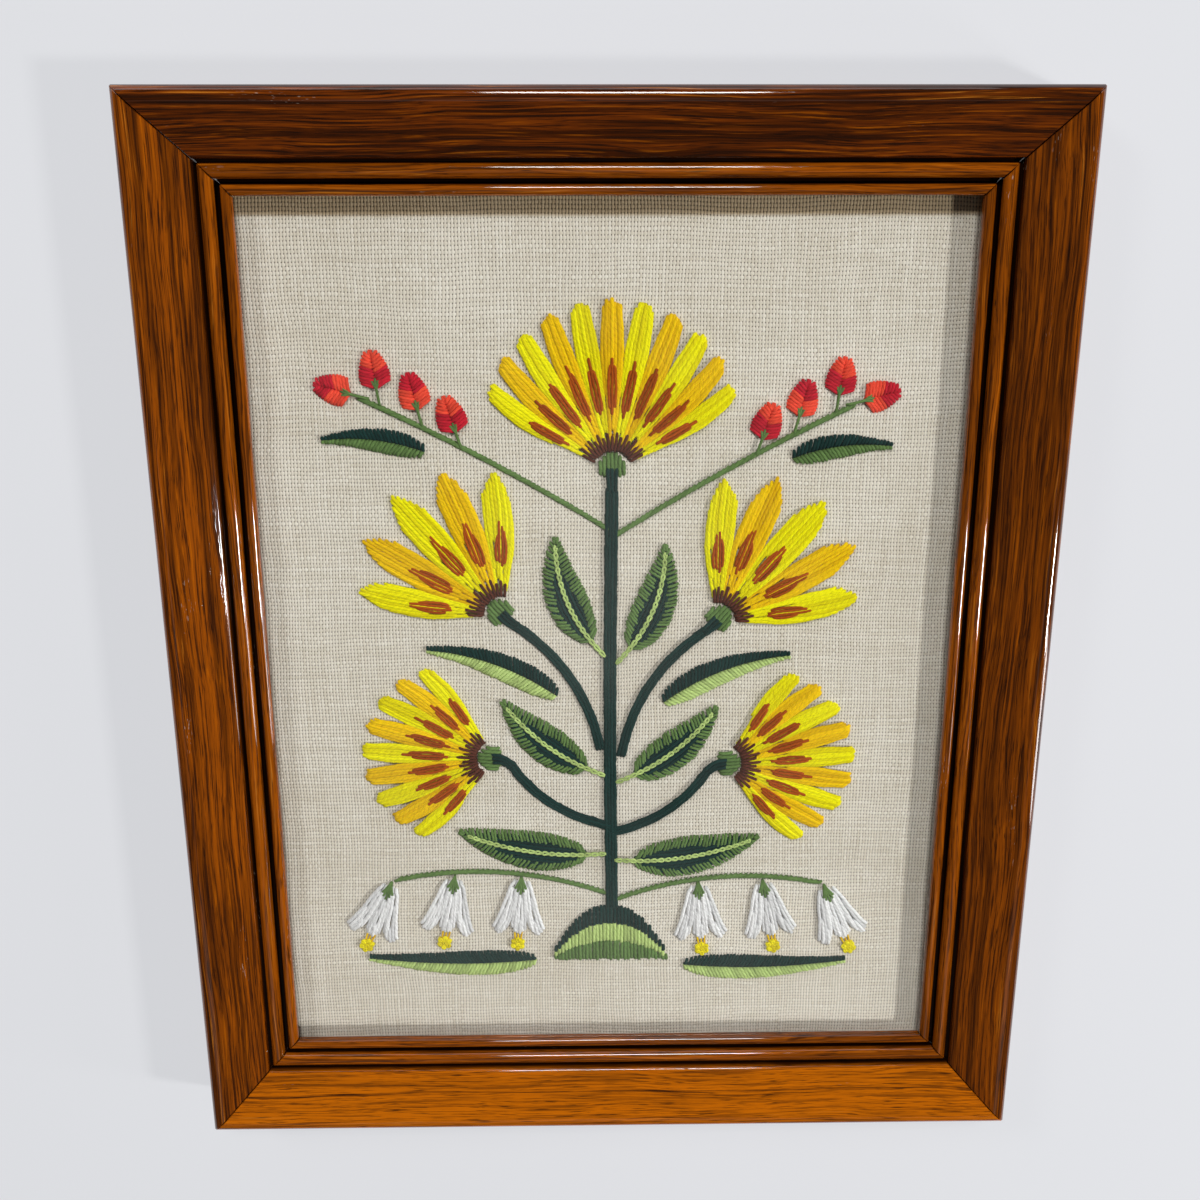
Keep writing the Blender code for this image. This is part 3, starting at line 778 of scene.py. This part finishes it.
def sweep(points, radius, phase):
    """Rings of a two-ply strand along points, and for each vertex how deep it lies between
    the plies, how far it is turned down, and its place among the fibres."""
    tangents = np.gradient(points, axis=0)
    tangents /= np.linalg.norm(tangents, axis=1, keepdims=True)
    side = np.cross(tangents, (0.0, 0.0, 1.0))
    side /= np.maximum(np.linalg.norm(side, axis=1, keepdims=True), 1e-6)
    upward = np.cross(side, tangents)
    run = np.concatenate(((0.0,), np.cumsum(np.linalg.norm(np.diff(points, axis=0), axis=1))))
    around = np.linspace(0.0, 2.0 * math.pi, STRAND_SIDES, endpoint=False)
    twist = phase + 2.0 * math.pi * run / PLY_PITCH
    groove = 1.0 - np.abs(np.cos(around[None, :] - twist[:, None]))
    reach = (radius * (1.0 - PLY_DEPTH * groove))[:, :, None]
    rings = points[:, None, :] + reach * (
        np.cos(around)[None, :, None] * side[:, None, :]
        + np.sin(around)[None, :, None] * upward[:, None, :]
    )
    flank_shade = np.broadcast_to((1.0 - np.sin(around)) / 2.0, groove.shape)
    turned = around[None, :] - twist[:, None]
    fibre = np.stack((np.broadcast_to(FIBRE_ALONG * run[:, None], groove.shape),
                      FIBRE_ROUND * np.cos(turned), FIBRE_ROUND * np.sin(turned)), axis=-1)
    return rings, groove, flank_shade, fibre + 7.0 * phase


def strand_faces(rings):
    """Side faces and both end caps of a swept strand."""
    here = np.arange(STRAND_SIDES)
    following = np.roll(here, -1)
    rows = np.arange(rings - 1)[:, None] * STRAND_SIDES
    quads = np.stack((rows + here, rows + STRAND_SIDES + here,
                      rows + STRAND_SIDES + following, rows + following), axis=-1)
    last = (rings - 1) * STRAND_SIDES
    return quads.reshape(-1, 4), here, (here + last)[::-1]


class Motif:
    """One worked motif: stitches gathered as strands, then joined into one mesh."""

    def __init__(self, name, slot):
        self.name = name
        self.slot = slot
        self.dice = random.Random(name)
        self.wools = []
        self.vertices, self.grooves, self.flank_shades = [], [], []
        self.tones, self.fibres = [], []
        self.faces, self.face_wools = [], []
        self.size = 0

    def jitter(self, amount):
        return self.dice.uniform(-amount, amount)

    def strand(self, points, wool_name, radius=STRAND_RADIUS):
        rings, groove, flank_shade, fibre = sweep(np.asarray(points), radius, self.dice.uniform(0.0, math.pi))
        quads, first, last = strand_faces(len(rings))
        if wool_name not in self.wools:
            self.wools.append(wool_name)
        index = self.wools.index(wool_name)
        self.vertices.append(rings.reshape(-1, 3))
        self.grooves.append(groove.ravel())
        self.flank_shades.append(flank_shade.ravel())
        self.fibres.append(fibre.reshape(-1, 3))
        self.tones.append(np.full(groove.size, self.dice.random()))
        self.faces += (quads + self.size).tolist()
        self.faces += [(first + self.size).tolist(), (last + self.size).tolist()]
        self.face_wools += [index] * (len(quads) + 2)
        self.size += groove.size

    def stitch(self, route, wool_name, layer=0.0, radius=STRAND_RADIUS, crown=CROWN):
        """A stitch along route, a row of points on the linen: up, along and down again."""
        route = np.asarray(route, float)
        reach = np.concatenate(((0.0,), np.cumsum(np.linalg.norm(np.diff(route, axis=0), axis=1))))
        length = reach[-1]
        end_run = min(END_RUN, 0.36 * length)
        count = max(2, round((length - 2.0 * end_run) / STRAND_STEP))
        inner = np.linspace(end_run, length - end_run, count + 1)
        at = np.concatenate(((0.0, 0.4 * end_run), inner, (length - 0.4 * end_run, length)))
        x = np.interp(at, reach, route[:, 0])
        y = np.interp(at, reach, route[:, 1])
        lift = np.clip(np.minimum(at, length - at) / end_run, 0.0, 1.0) ** 0.6
        height = LINEN_TOP_Z + 0.95 * radius + layer * LAYER_RISE
        z = NEEDLE_Z + (height - NEEDLE_Z) * lift + crown * np.sin(math.pi * at / length)
        sway = SWAY * np.sin(at * self.dice.uniform(0.5, 0.9) + self.dice.uniform(0.0, 6.0))
        heading = math.atan2(route[-1, 1] - route[0, 1], route[-1, 0] - route[0, 0])
        points = np.column_stack((x - math.sin(heading) * sway, y + math.cos(heading) * sway, z))
        self.strand(points, wool_name, radius)

    def knot(self, centre, wool_name):
        """A wound knot that stands on the linen."""
        coil = KNOT_COIL + self.jitter(0.08)
        shares = np.linspace(0.0, 1.0, KNOT_STEPS)
        angles = self.dice.uniform(0.0, 6.0) + 2.0 * math.pi * KNOT_TURNS * shares
        reach = coil * (1.0 - 0.55 * shares**2)
        height = LINEN_TOP_Z + 0.9 * KNOT_RADIUS + KNOT_HEIGHT * shares**0.8
        height[0] = NEEDLE_Z + 0.3
        points = np.column_stack((centre[0] + reach * np.cos(angles),
                                  centre[1] + reach * np.sin(angles), height))
        self.strand(points, wool_name, KNOT_RADIUS)

    def chain(self, line, length, wool_name, layer):
        """Chain stitches along line, a place for each share of its length."""
        count = max(2, round(length / LINK_PITCH))
        for number in range(count):
            start, end = number / count, (number + 1.0) / count
            shares = np.linspace(0.0, 1.0, LINK_STEPS)
            forth = np.sin(math.pi * shares)
            aside = LINK_HALF_WIDTH * np.sin(2.0 * math.pi * shares) * (0.6 + 0.4 * forth)
            points = []
            for ahead, off, lift in zip(forth, aside, forth):
                at = start + (end - start) * LINK_OVERLAP * ahead
                here, there = np.array(line(min(1.0, at))), np.array(line(min(1.0, at + 0.01)))
                run = there - here
                size = np.linalg.norm(run)
                run = run / size if size > 1e-9 else np.array((1.0, 0.0))
                height = LINEN_TOP_Z + 0.9 * LINK_RADIUS + layer * LAYER_RISE
                z = NEEDLE_Z + 0.2 + (height - NEEDLE_Z - 0.2) * min(1.0, 4.0 * lift)
                points.append((here[0] - run[1] * off, here[1] + run[0] * off, z))
            self.strand(points, wool_name, LINK_RADIUS)

    def make(self):
        piece = mesh_object(self.name + "_wool", np.concatenate(self.vertices), self.faces,
                            [finishes[name] for name in self.wools])
        piece.data.polygons.foreach_set("material_index", self.face_wools)
        add_attribute(piece.data, "groove", np.concatenate(self.grooves))
        add_attribute(piece.data, "flank_shade", np.concatenate(self.flank_shades))
        add_attribute(piece.data, "fibre", np.concatenate(self.fibres), "FLOAT_VECTOR")
        add_attribute(piece.data, "tone", np.concatenate(self.tones))
        keep(piece, self.slot, self.name)


# Places of the motifs


def step_from(point, heading, distance):
    angle = math.radians(heading)
    return (point[0] + distance * math.cos(angle), point[1] + distance * math.sin(angle))


def mirrored(point):
    return (MIRROR_SHIFT_X - MIRROR_SCALE * point[0], MIRROR_SHIFT_Y + point[1])


def ends_and_middle(share, sharpness, least):
    """1 in the middle of a form and least at its ends."""
    return least + (1.0 - least) * max(0.0, math.sin(math.pi * share)) ** sharpness


def half_width(form, share):
    """A band's half width, 0 to 1, at a share of its length."""
    if form == "leaf":
        return ends_and_middle(min(1.0, share**0.75), 0.8, 0.08)
    if form == "blade":
        return ends_and_middle(min(1.0, share**0.6), 0.9, 0.12)
    if form == "bud":
        return ends_and_middle((0.08 + 0.88 * share) ** 0.7, 0.8, 0.25)
    return 1.0


class Band:
    """A place on a band round a bent midline."""

    def __init__(self, form, start, end, bend, widest):
        run = np.subtract(end, start)
        self.length = float(np.hypot(*run))
        self.start, self.end = np.array(start), np.array(end)
        self.middle = (self.start + self.end) / 2.0
        self.middle += np.array((-run[1], run[0])) / self.length * bend
        self.form, self.widest = form, widest

    def half(self, along):
        return self.widest * half_width(self.form, min(1.0, max(0.0, along)))

    def at(self, along, aside):
        """The point at a share of the length, aside in millimetres to the left."""
        back = 1.0 - along
        point = back * back * self.start + 2.0 * along * back * self.middle + along**2 * self.end
        run = back * (self.middle - self.start) + along * (self.end - self.middle)
        run /= np.linalg.norm(run)
        return point + aside * np.array((-run[1], run[0]))

    def route(self, first, last, aside, steps=8):
        """A row of points from share first to last; aside is a distance or a pair of them."""
        sides = aside if isinstance(aside, tuple) else (aside, aside)
        shares = np.linspace(0.0, 1.0, steps)
        return [self.at(first + (last - first) * s, sides[0] + (sides[1] - sides[0]) * s) for s in shares]


def lobe_share(count, across, point):
    """1 at the middle of a lobe and 0 between two, going across count lobes."""
    share = (count * (across + 1.0) / 2.0) % 1.0
    return 1.0 - abs(2.0 * share - 1.0) ** point


def bell_width(along):
    return BELL_MOUTH * (0.22 + 0.50 * along**0.6 + 0.28 * along**4)


def bell(base, heading):
    """A place on a bell that flares from its base to a mouth of pointed lobes."""

    def place(along, across):
        reach = BELL_LENGTH * (0.80 + 0.20 * lobe_share(BELL_LOBES, across, 1.5))
        middle = step_from(base, heading, reach * along)
        return step_from(middle, heading + 90.0, bell_width(along) * across)

    return place


def head(base, heading, spread, length, petals, notch, point):
    """A place on a fan of petals, from shares outwards (0 to 1) and round (-1 to 1)."""

    def place(outwards, round_share):
        reach = length * (1.0 - HEAD_SIDE_DROP * round_share**2)
        reach *= 1.0 - notch * (1.0 - lobe_share(petals, round_share, point))
        radius = HEAD_INNER + (reach - HEAD_INNER) * outwards
        swell = 1.0 + 0.05 * math.sin(math.pi * outwards)
        return step_from(base, heading + spread / 2.0 * round_share * swell, radius)

    return place


# Working the motifs


def spread_ranks(count):
    """Ranks for a row of neighbours in which any first few are evenly spread."""
    shares = [(k * GOLDEN) % 1.0 for k in range(count)]
    ordered = sorted(shares)
    return [ordered.index(share) for share in shares]


def eased_share(value, low, high):
    share = min(1.0, max(0.0, (value - low) / (high - low)))
    return share * share * (3.0 - 2.0 * share)


def work_petals(motif, place, petals, petal_width, tip, wools, fullest=0.85):
    """Long-and-short stitches: a further strand starts wherever a petal is wide enough for it,
    and all are side by side at the share called fullest."""
    count = max(4, round(petal_width(fullest) / STRAND_PITCH))
    ranks = spread_ranks(count)
    for petal in range(petals):
        centre = 2.0 * (petal + 0.5) / petals - 1.0
        for k in range(count):
            aside = (2.0 * (k + 0.5) / count - 1.0) * PETAL_FILL
            start = 0.0
            while petal_width(start) < (ranks[k] + 1) * CROWDED_PITCH and start < 0.8:
                start += 0.02
            start = max(0.0, start + motif.jitter(0.02))
            end = 1.0 - 0.03 * motif.dice.random()
            route = []
            for share in np.linspace(start, end, PETAL_STEPS):
                pinch = 1.0 - (1.0 - tip) * eased_share(share, *PETAL_PINCH)
                route.append(place(share, centre + aside * pinch / petals))
            motif.stitch(route, wools[petal % len(wools)], layer=PETAL_RISE * (k % 2),
                         crown=PETAL_CROWN * (1.0 - aside**2))


def work_streaks(motif, place, petals, petal_width, wool_name):
    """A lens of strands laid over the middle of each petal."""
    count = max(3, round(0.5 * petal_width(0.5) / STREAK_PITCH))
    for petal in range(petals):
        centre = 2.0 * (petal + 0.5) / petals - 1.0
        for k in range(count):
            aside = (k - (count - 1) / 2.0) * STREAK_PITCH
            start = STREAK_START + 0.035 * abs(aside) + motif.jitter(0.02)
            end = STREAK_END - 0.05 * abs(aside) + motif.jitter(0.03)
            route = []
            for share in np.linspace(start, end, 9):
                swell = ends_and_middle((share - start) / (end - start), 0.5, 0.0)
                across = 2.0 * aside / petal_width(share) * (0.45 + 0.55 * swell)
                route.append(place(share, centre + across / petals))
            motif.stitch(route, wool_name, layer=STREAK_LAYER, radius=THIN_RADIUS)


def add_head(name, foot, bend, base, heading, spread, length, petals, notch, point):
    place = head(base, heading, spread, length, petals, notch, point)
    motif = Motif("head_" + name, "wool_yellow")

    def petal_width(share):
        radius = HEAD_INNER + (length * (1.0 - notch / 2.0) - HEAD_INNER) * share
        return math.radians(spread) * radius / petals

    tip = NARROW_TIP if petals > FEW_PETALS else BROAD_TIP
    work_petals(motif, place, petals, petal_width, tip, ("lemon", "gold"))
    work_streaks(motif, place, petals, petal_width, "rust")
    # A crescent of short dark stitches where the petals meet
    count = round(math.radians(spread) * (HEAD_INNER + 1.5) / STRAND_PITCH)
    for k in range(count):
        turn = heading + spread * ((k + 0.5) / count - 0.5) * CRESCENT_SPREAD
        inner = HEAD_INNER - CRESCENT_BACK + motif.jitter(0.3)
        outer = HEAD_INNER + CRESCENT_FRONT[k % 2] + motif.jitter(0.5)
        route = [step_from(base, turn, inner), step_from(base, turn, outer)]
        motif.stitch(route, "brown", layer=CRESCENT_LAYER, radius=SHORT_RADIUS)
    motif.make()
    calyx = Motif("calyx_" + name, "wool_mid_green")
    cup = Band("bud", step_from(base, heading, -CALYX_BACK), step_from(base, heading, CALYX_FRONT),
               0.0, CALYX_HALF_WIDTH)
    work_lengthwise(calyx, cup, "mid_green", 0.0, 3)
    stalk = Band("stem", foot, step_from(base, heading, 1.5), bend, 1.0)
    for aside in STALK_SIDES:
        route = stalk.route(0.0, 1.0, (aside, STALK_FLARE * aside))
        calyx.stitch(route, "dark_green", layer=STALK_LAYER)
    calyx.make()


def work_lengthwise(motif, band, wool_name, layer, steps=9, margin=0.45):
    """Strands side by side along a band, each as long as the band is wide enough for it."""
    count = max(1, round(2.0 * band.widest / STRAND_PITCH) - 1)
    shares = np.linspace(0.0, 1.0, 61)
    halves = np.array([band.half(share) for share in shares])
    for k in range(count):
        aside = (k - (count - 1) / 2.0) * STRAND_PITCH
        fits = shares[halves > abs(aside) + margin]
        if len(fits) > 3:
            first, last = fits[0] + motif.jitter(0.01), fits[-1] + motif.jitter(0.01)
            motif.stitch(band.route(max(0.0, first), min(1.0, last), aside, steps), wool_name, layer)


def work_leaf(motif, band):
    """Dark strands lengthwise, slanted stitches over both margins and a chained midrib."""
    work_lengthwise(motif, band, "dark_green", 0.0, margin=LEAF_MARGIN)
    count = round(band.length / MARGIN_PITCH)
    for side in (-1.0, 1.0):
        for k in range(count):
            share = (k + 0.5 + motif.jitter(0.18)) / count
            outer = min(1.0, share + MARGIN_SLANT / band.length)
            reach = band.half(outer)
            inner = max(0.25, reach - MARGIN_DEPTH - motif.jitter(0.6))
            route = [band.at(share, side * min(inner, 0.8 * band.half(share))),
                     band.at(outer, side * (reach + motif.jitter(0.3)))]
            motif.stitch(route, "mid_green", layer=MARGIN_LAYER, radius=THIN_RADIUS, crown=0.05)
    stalk = LEAF_STALK / band.length

    def midline(share):
        return band.at(-stalk + (MIDRIB_SHARE + stalk) * share, 0.0)

    motif.chain(midline, MIDRIB_SHARE * band.length + LEAF_STALK, "light_green", 1.0)


def work_blade(motif, band, wools):
    """Slanted satin stitches on both sides of the midline, each side of its own wool."""
    count = round(band.length / BLADE_PITCH)
    for side, wool_name in zip((-1.0, 1.0), wools):
        for k in range(count):
            share = (k + 0.5) / count * BLADE_FILL
            outer = min(1.0, share + BLADE_SLANT * band.half(share) / band.length)
            tip = band.at(outer, side * (band.half(outer) + motif.jitter(0.2)))
            motif.stitch([band.at(share, side * 0.15), tip], wool_name, layer=0.10 * (k % 2),
                         radius=SATIN_RADIUS, crown=PETAL_CROWN)


def work_stem(motif, band, wool_name, join):
    """Strands side by side in long stitches whose ends overlap, begun join before the band."""
    count = round(2.0 * band.widest / 1.25)
    for k in range(count):
        aside = (k - (count - 1) / 2.0) * STEM_PITCH
        share = -(join + motif.dice.random() * 8.0) / band.length
        while share < 0.99:
            length = motif.dice.uniform(*STEM_STITCH) / band.length
            first = max(-join / band.length, share)
            last = min(1.0, share + length + STEM_OVERLAP / band.length)
            if (last - first) * band.length > 2.5:
                shift = motif.jitter(0.12)
                motif.stitch(band.route(first, last, (aside + shift, aside - shift)), wool_name,
                             layer=NEIGHBOUR_RISE * (k % 2))
            share += length


def work_rope(motif, band, wool_name, join):
    """Short slanted stitches that overlap like a rope, begun join before the band."""
    step = ROPE_STEP / band.length
    share = -join / band.length
    while share < 1.0:
        last = min(1.0, share + ROPE_STITCH / band.length)
        if (last - share) * band.length > 2.0:
            route = band.route(share, last, (-ROPE_SLANT, ROPE_SLANT), 4)
            motif.stitch(route, wool_name, layer=0.1, radius=SHORT_RADIUS)
        share += step


def add_band(name, form, start, end, bend, widest):
    kind = name.rsplit("_left", 1)[0].rsplit("_right", 1)[0]
    motif = Motif(name, BAND_SLOTS.get(kind, DEFAULT_BAND_SLOT))
    band = Band(form, start, end, bend, widest)
    if form == "leaf":
        work_leaf(motif, band)
    elif form == "blade":
        light = "mid_green" if kind == "leaf_tip" else "light_green"
        upper_left = name.endswith("left")
        work_blade(motif, band, ("dark_green", light) if upper_left else (light, "dark_green"))
    elif form == "stem":
        work_stem(motif, band, "dark_green", FOOT_REACH if kind == "stem_main" else JOIN_REACH)
    else:
        work_rope(motif, band, "mid_green", JOIN_REACH)
    motif.make()


def add_bud(name, base, heading, slot_wool, tip_wool):
    """Slanted stitches on both sides of the midline; the last third takes the second wool."""
    motif = Motif(name, "wool_" + slot_wool)
    band = Band("bud", base, step_from(base, heading, BUD_LENGTH), 0.0, BUD_HALF_WIDTH)
    count = round(BUD_LENGTH / BUD_PITCH)
    for side in (-1.0, 1.0):
        for k in range(count):
            share = (k + 0.3) / count * 0.86
            outer = min(1.0, share + 0.16)
            route = [band.at(share, side * 0.1), band.at(outer, side * (band.half(outer) - 0.1))]
            wool_name = tip_wool if share > (0.52 if side > 0.0 else 0.40) else slot_wool
            motif.stitch(route, wool_name, layer=NEIGHBOUR_RISE * (k % 2), radius=BUD_RADIUS, crown=0.5)
    for aside in (-0.8, 0.8):
        route = band.route(0.74, 1.0, (aside, 0.4 * aside), 3)
        motif.stitch(route, tip_wool, radius=SHORT_RADIUS, crown=0.4)
    for turn in SEPAL_TURNS:
        tip = step_from(base, heading + turn, SEPAL_LENGTH)
        route = [step_from(base, heading, -STALK_REACH), base, tip]
        motif.stitch(route, "mid_green", layer=CUP_LAYER, radius=0.55)
    motif.make()


def add_bell(name, base, heading):
    place = bell(base, heading)
    motif = Motif("bell_" + name, "wool_white")
    work_petals(motif, place, BELL_LOBES, lambda share: 2.0 * bell_width(share) / BELL_LOBES, 0.80,
                ("white",), fullest=1.0)
    for k in range(5):
        turn = heading + BELL_CUP_TURN * (k - 2)
        route = [step_from(base, heading, -2.2), step_from(base, turn, 6.2 - abs(k - 2))]
        motif.stitch(route, "mid_green", layer=CUP_LAYER, radius=0.6)
    motif.make()
    knots = Motif("knots_" + name, "wool_knots")
    middle = step_from(base, heading, BELL_LENGTH + 2.0 + KNOTS_LENGTH / 2.0)
    knots.knot(middle, "knot_yellow")
    for k in range(6):
        knots.knot(step_from(middle, 60.0 * k + heading, KNOTS_REACH), "knot_yellow")
    for aside in STAMEN_SIDES:
        root = step_from(step_from(base, heading, STAMEN_START), heading + 90.0, 1.6 * aside)
        knots.stitch([root, step_from(middle, heading + 90.0, aside)], "gold", radius=0.42, crown=0.3)
    knots.make()


def add_mound():
    """Three bands of short upright stitches, in the shape of a low hill."""
    motif = Motif("mound", "wool_mid_green")
    (middle_x, base_y), widest, height = MOUND
    columns = round(2.0 * widest / STRAND_PITCH)
    for k in range(columns):
        aside = 2.0 * (k + 0.5) / columns - 1.0
        top = MOUND_END_HEIGHT + height * (1.0 - abs(aside) ** MOUND_ROUNDNESS)
        x = middle_x + widest * aside
        for low, high, wool_name in MOUND_BANDS:
            first, last = low * top + motif.jitter(0.5), high * top + motif.jitter(0.5)
            if last - first > 1.4:
                route = [(x, base_y + first), (x + motif.jitter(0.2), base_y + last)]
                motif.stitch(route, wool_name, crown=0.3)
    motif.make()


def add_spray_half(side):
    """All paired motifs of one half. The right one mirrors points, headings and bends."""
    right = side == "right"

    def point(given):
        return mirrored(given) if right else given

    def heading(given):
        return 180.0 - given if right else given

    for name, form, start, end, bend, widest in PAIRED_BANDS:
        bent = -bend if right else bend
        add_band(f"{name}_{side}", form, point(start), point(end), bent, widest)
    for number, (base, angle, slot_wool, tip_wool) in enumerate(BUDS, 1):
        add_bud(f"bud_{side}_{number}", point(base), heading(angle), slot_wool, tip_wool)
    for number, (base, angle) in enumerate(BELLS, 1):
        add_bell(f"{side}_{number}", point(base), heading(angle))
    for name, foot, bend, base, angle, *shape in PAIRED_HEADS:
        bent = -bend if right else bend
        add_head(f"{name}_{side}", point(foot), bent, point(base), heading(angle), *shape)


def add_spray():
    add_band(*MAIN_STEM)
    add_head(*TOP_HEAD)
    add_mound()
    add_spray_half("left")
    add_spray_half("right")


# Stage


def dress_cad_nodes():
    """Materials for the frame's parts that stay as they are."""
    for name, finish in (("glass_pane", glass()), ("mounting_board", board())):
        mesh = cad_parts[name].data
        mesh.materials.clear()
        mesh.materials.append(finish)
    # Clear glass dims the light that passes through it too little to be worth tracing
    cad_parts["glass_pane"].visible_shadow = False
    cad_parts["glass_pane"].visible_diffuse = False


def add_floor():
    half = FLOOR_SIZE / 2.0
    line = FLOOR_CELLS + 1
    steps = np.linspace(-half, half, line)
    vertices = [(x, y, FLOOR_Z) for y in steps for x in steps]
    corners = [line * i + j for i in range(FLOOR_CELLS) for j in range(FLOOR_CELLS)]
    faces = [(a, a + 1, a + line + 1, a + line) for a in corners]
    mesh_object("floor", vertices, faces, [floor_finish()])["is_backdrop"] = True


def add_lights():
    for name, place, aim, size, watts, colour in LIGHTS:
        data = bpy.data.lights.new(name, "AREA")
        data.shape = "RECTANGLE"
        data.size, data.size_y = size[0] * MM, size[1] * MM
        data.energy = watts
        data.color = colour
        light = bpy.data.objects.new(name, data)
        light.location = Vector(place) * MM
        light.rotation_mode = "QUATERNION"
        light.rotation_quaternion = (Vector(aim) - Vector(place)).to_track_quat("-Z", "Y")
        bpy.context.scene.collection.objects.link(light)


def add_world():
    """A dim room with soft oval patches of light, placed by how far directions lean from up."""
    graph = Graph(bpy.data.worlds.new("studio"), "Background")
    x, y, z = graph.split(graph.node("TexCoord", {}, output=0))
    height = graph.calc("MAXIMUM", z, 0.02)
    lean = graph.calc("DIVIDE", graph.calc("MULTIPLY", y, -1.0), height)
    across = graph.calc("DIVIDE", x, height)
    strength = ROOM_STRENGTH
    for middle, reach, brightness in PATCHES:
        aside = graph.calc("DIVIDE", graph.calc("SUBTRACT", across, middle[0]), reach[0])
        along = graph.calc("DIVIDE", graph.calc("SUBTRACT", lean, middle[1]), reach[1])
        square = graph.calc("MULTIPLY_ADD", aside, aside, graph.calc("MULTIPLY", along, along))
        patch = graph.ramp(square, 1.0, 0.0)
        strength = graph.calc("MULTIPLY_ADD", patch, brightness, strength)
    graph.feed(graph.shader, {"Color": opaque(ROOM_COLOUR), "Strength": strength})
    graph.owner.cycles.sampling_method = "NONE"
    bpy.context.scene.world = graph.owner
    bpy.context.scene.view_settings.view_transform = "Standard"


def add_camera():
    data = bpy.data.cameras.new("camera")
    data.lens = CAMERA_LENS
    data.sensor_width = SENSOR
    data.clip_start = CLIP_START
    camera = bpy.data.objects.new("camera", data)
    camera.location = Vector(CAMERA_PLACE) * MM
    turn = Vector(CAMERA_TURN)
    camera.rotation_mode = "QUATERNION"
    camera.rotation_quaternion = Quaternion(turn.normalized(), turn.length)
    bpy.context.scene.collection.objects.link(camera)
    bpy.context.scene.camera = camera


def write_sizes():
    boxes = {"cad": CAD_BOUNDS, "visual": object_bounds()}
    lists = {name: [list(corner) for corner in box] for name, box in boxes.items()}


finishes = {name: wool(name, colour) for name, colour in WOOLS.items()}
for rail in RAILS:
    add_rail(*rail)
add_linen()
dress_cad_nodes()
add_spray()
add_floor()
add_lights()
add_world()
add_camera()
write_sizes()
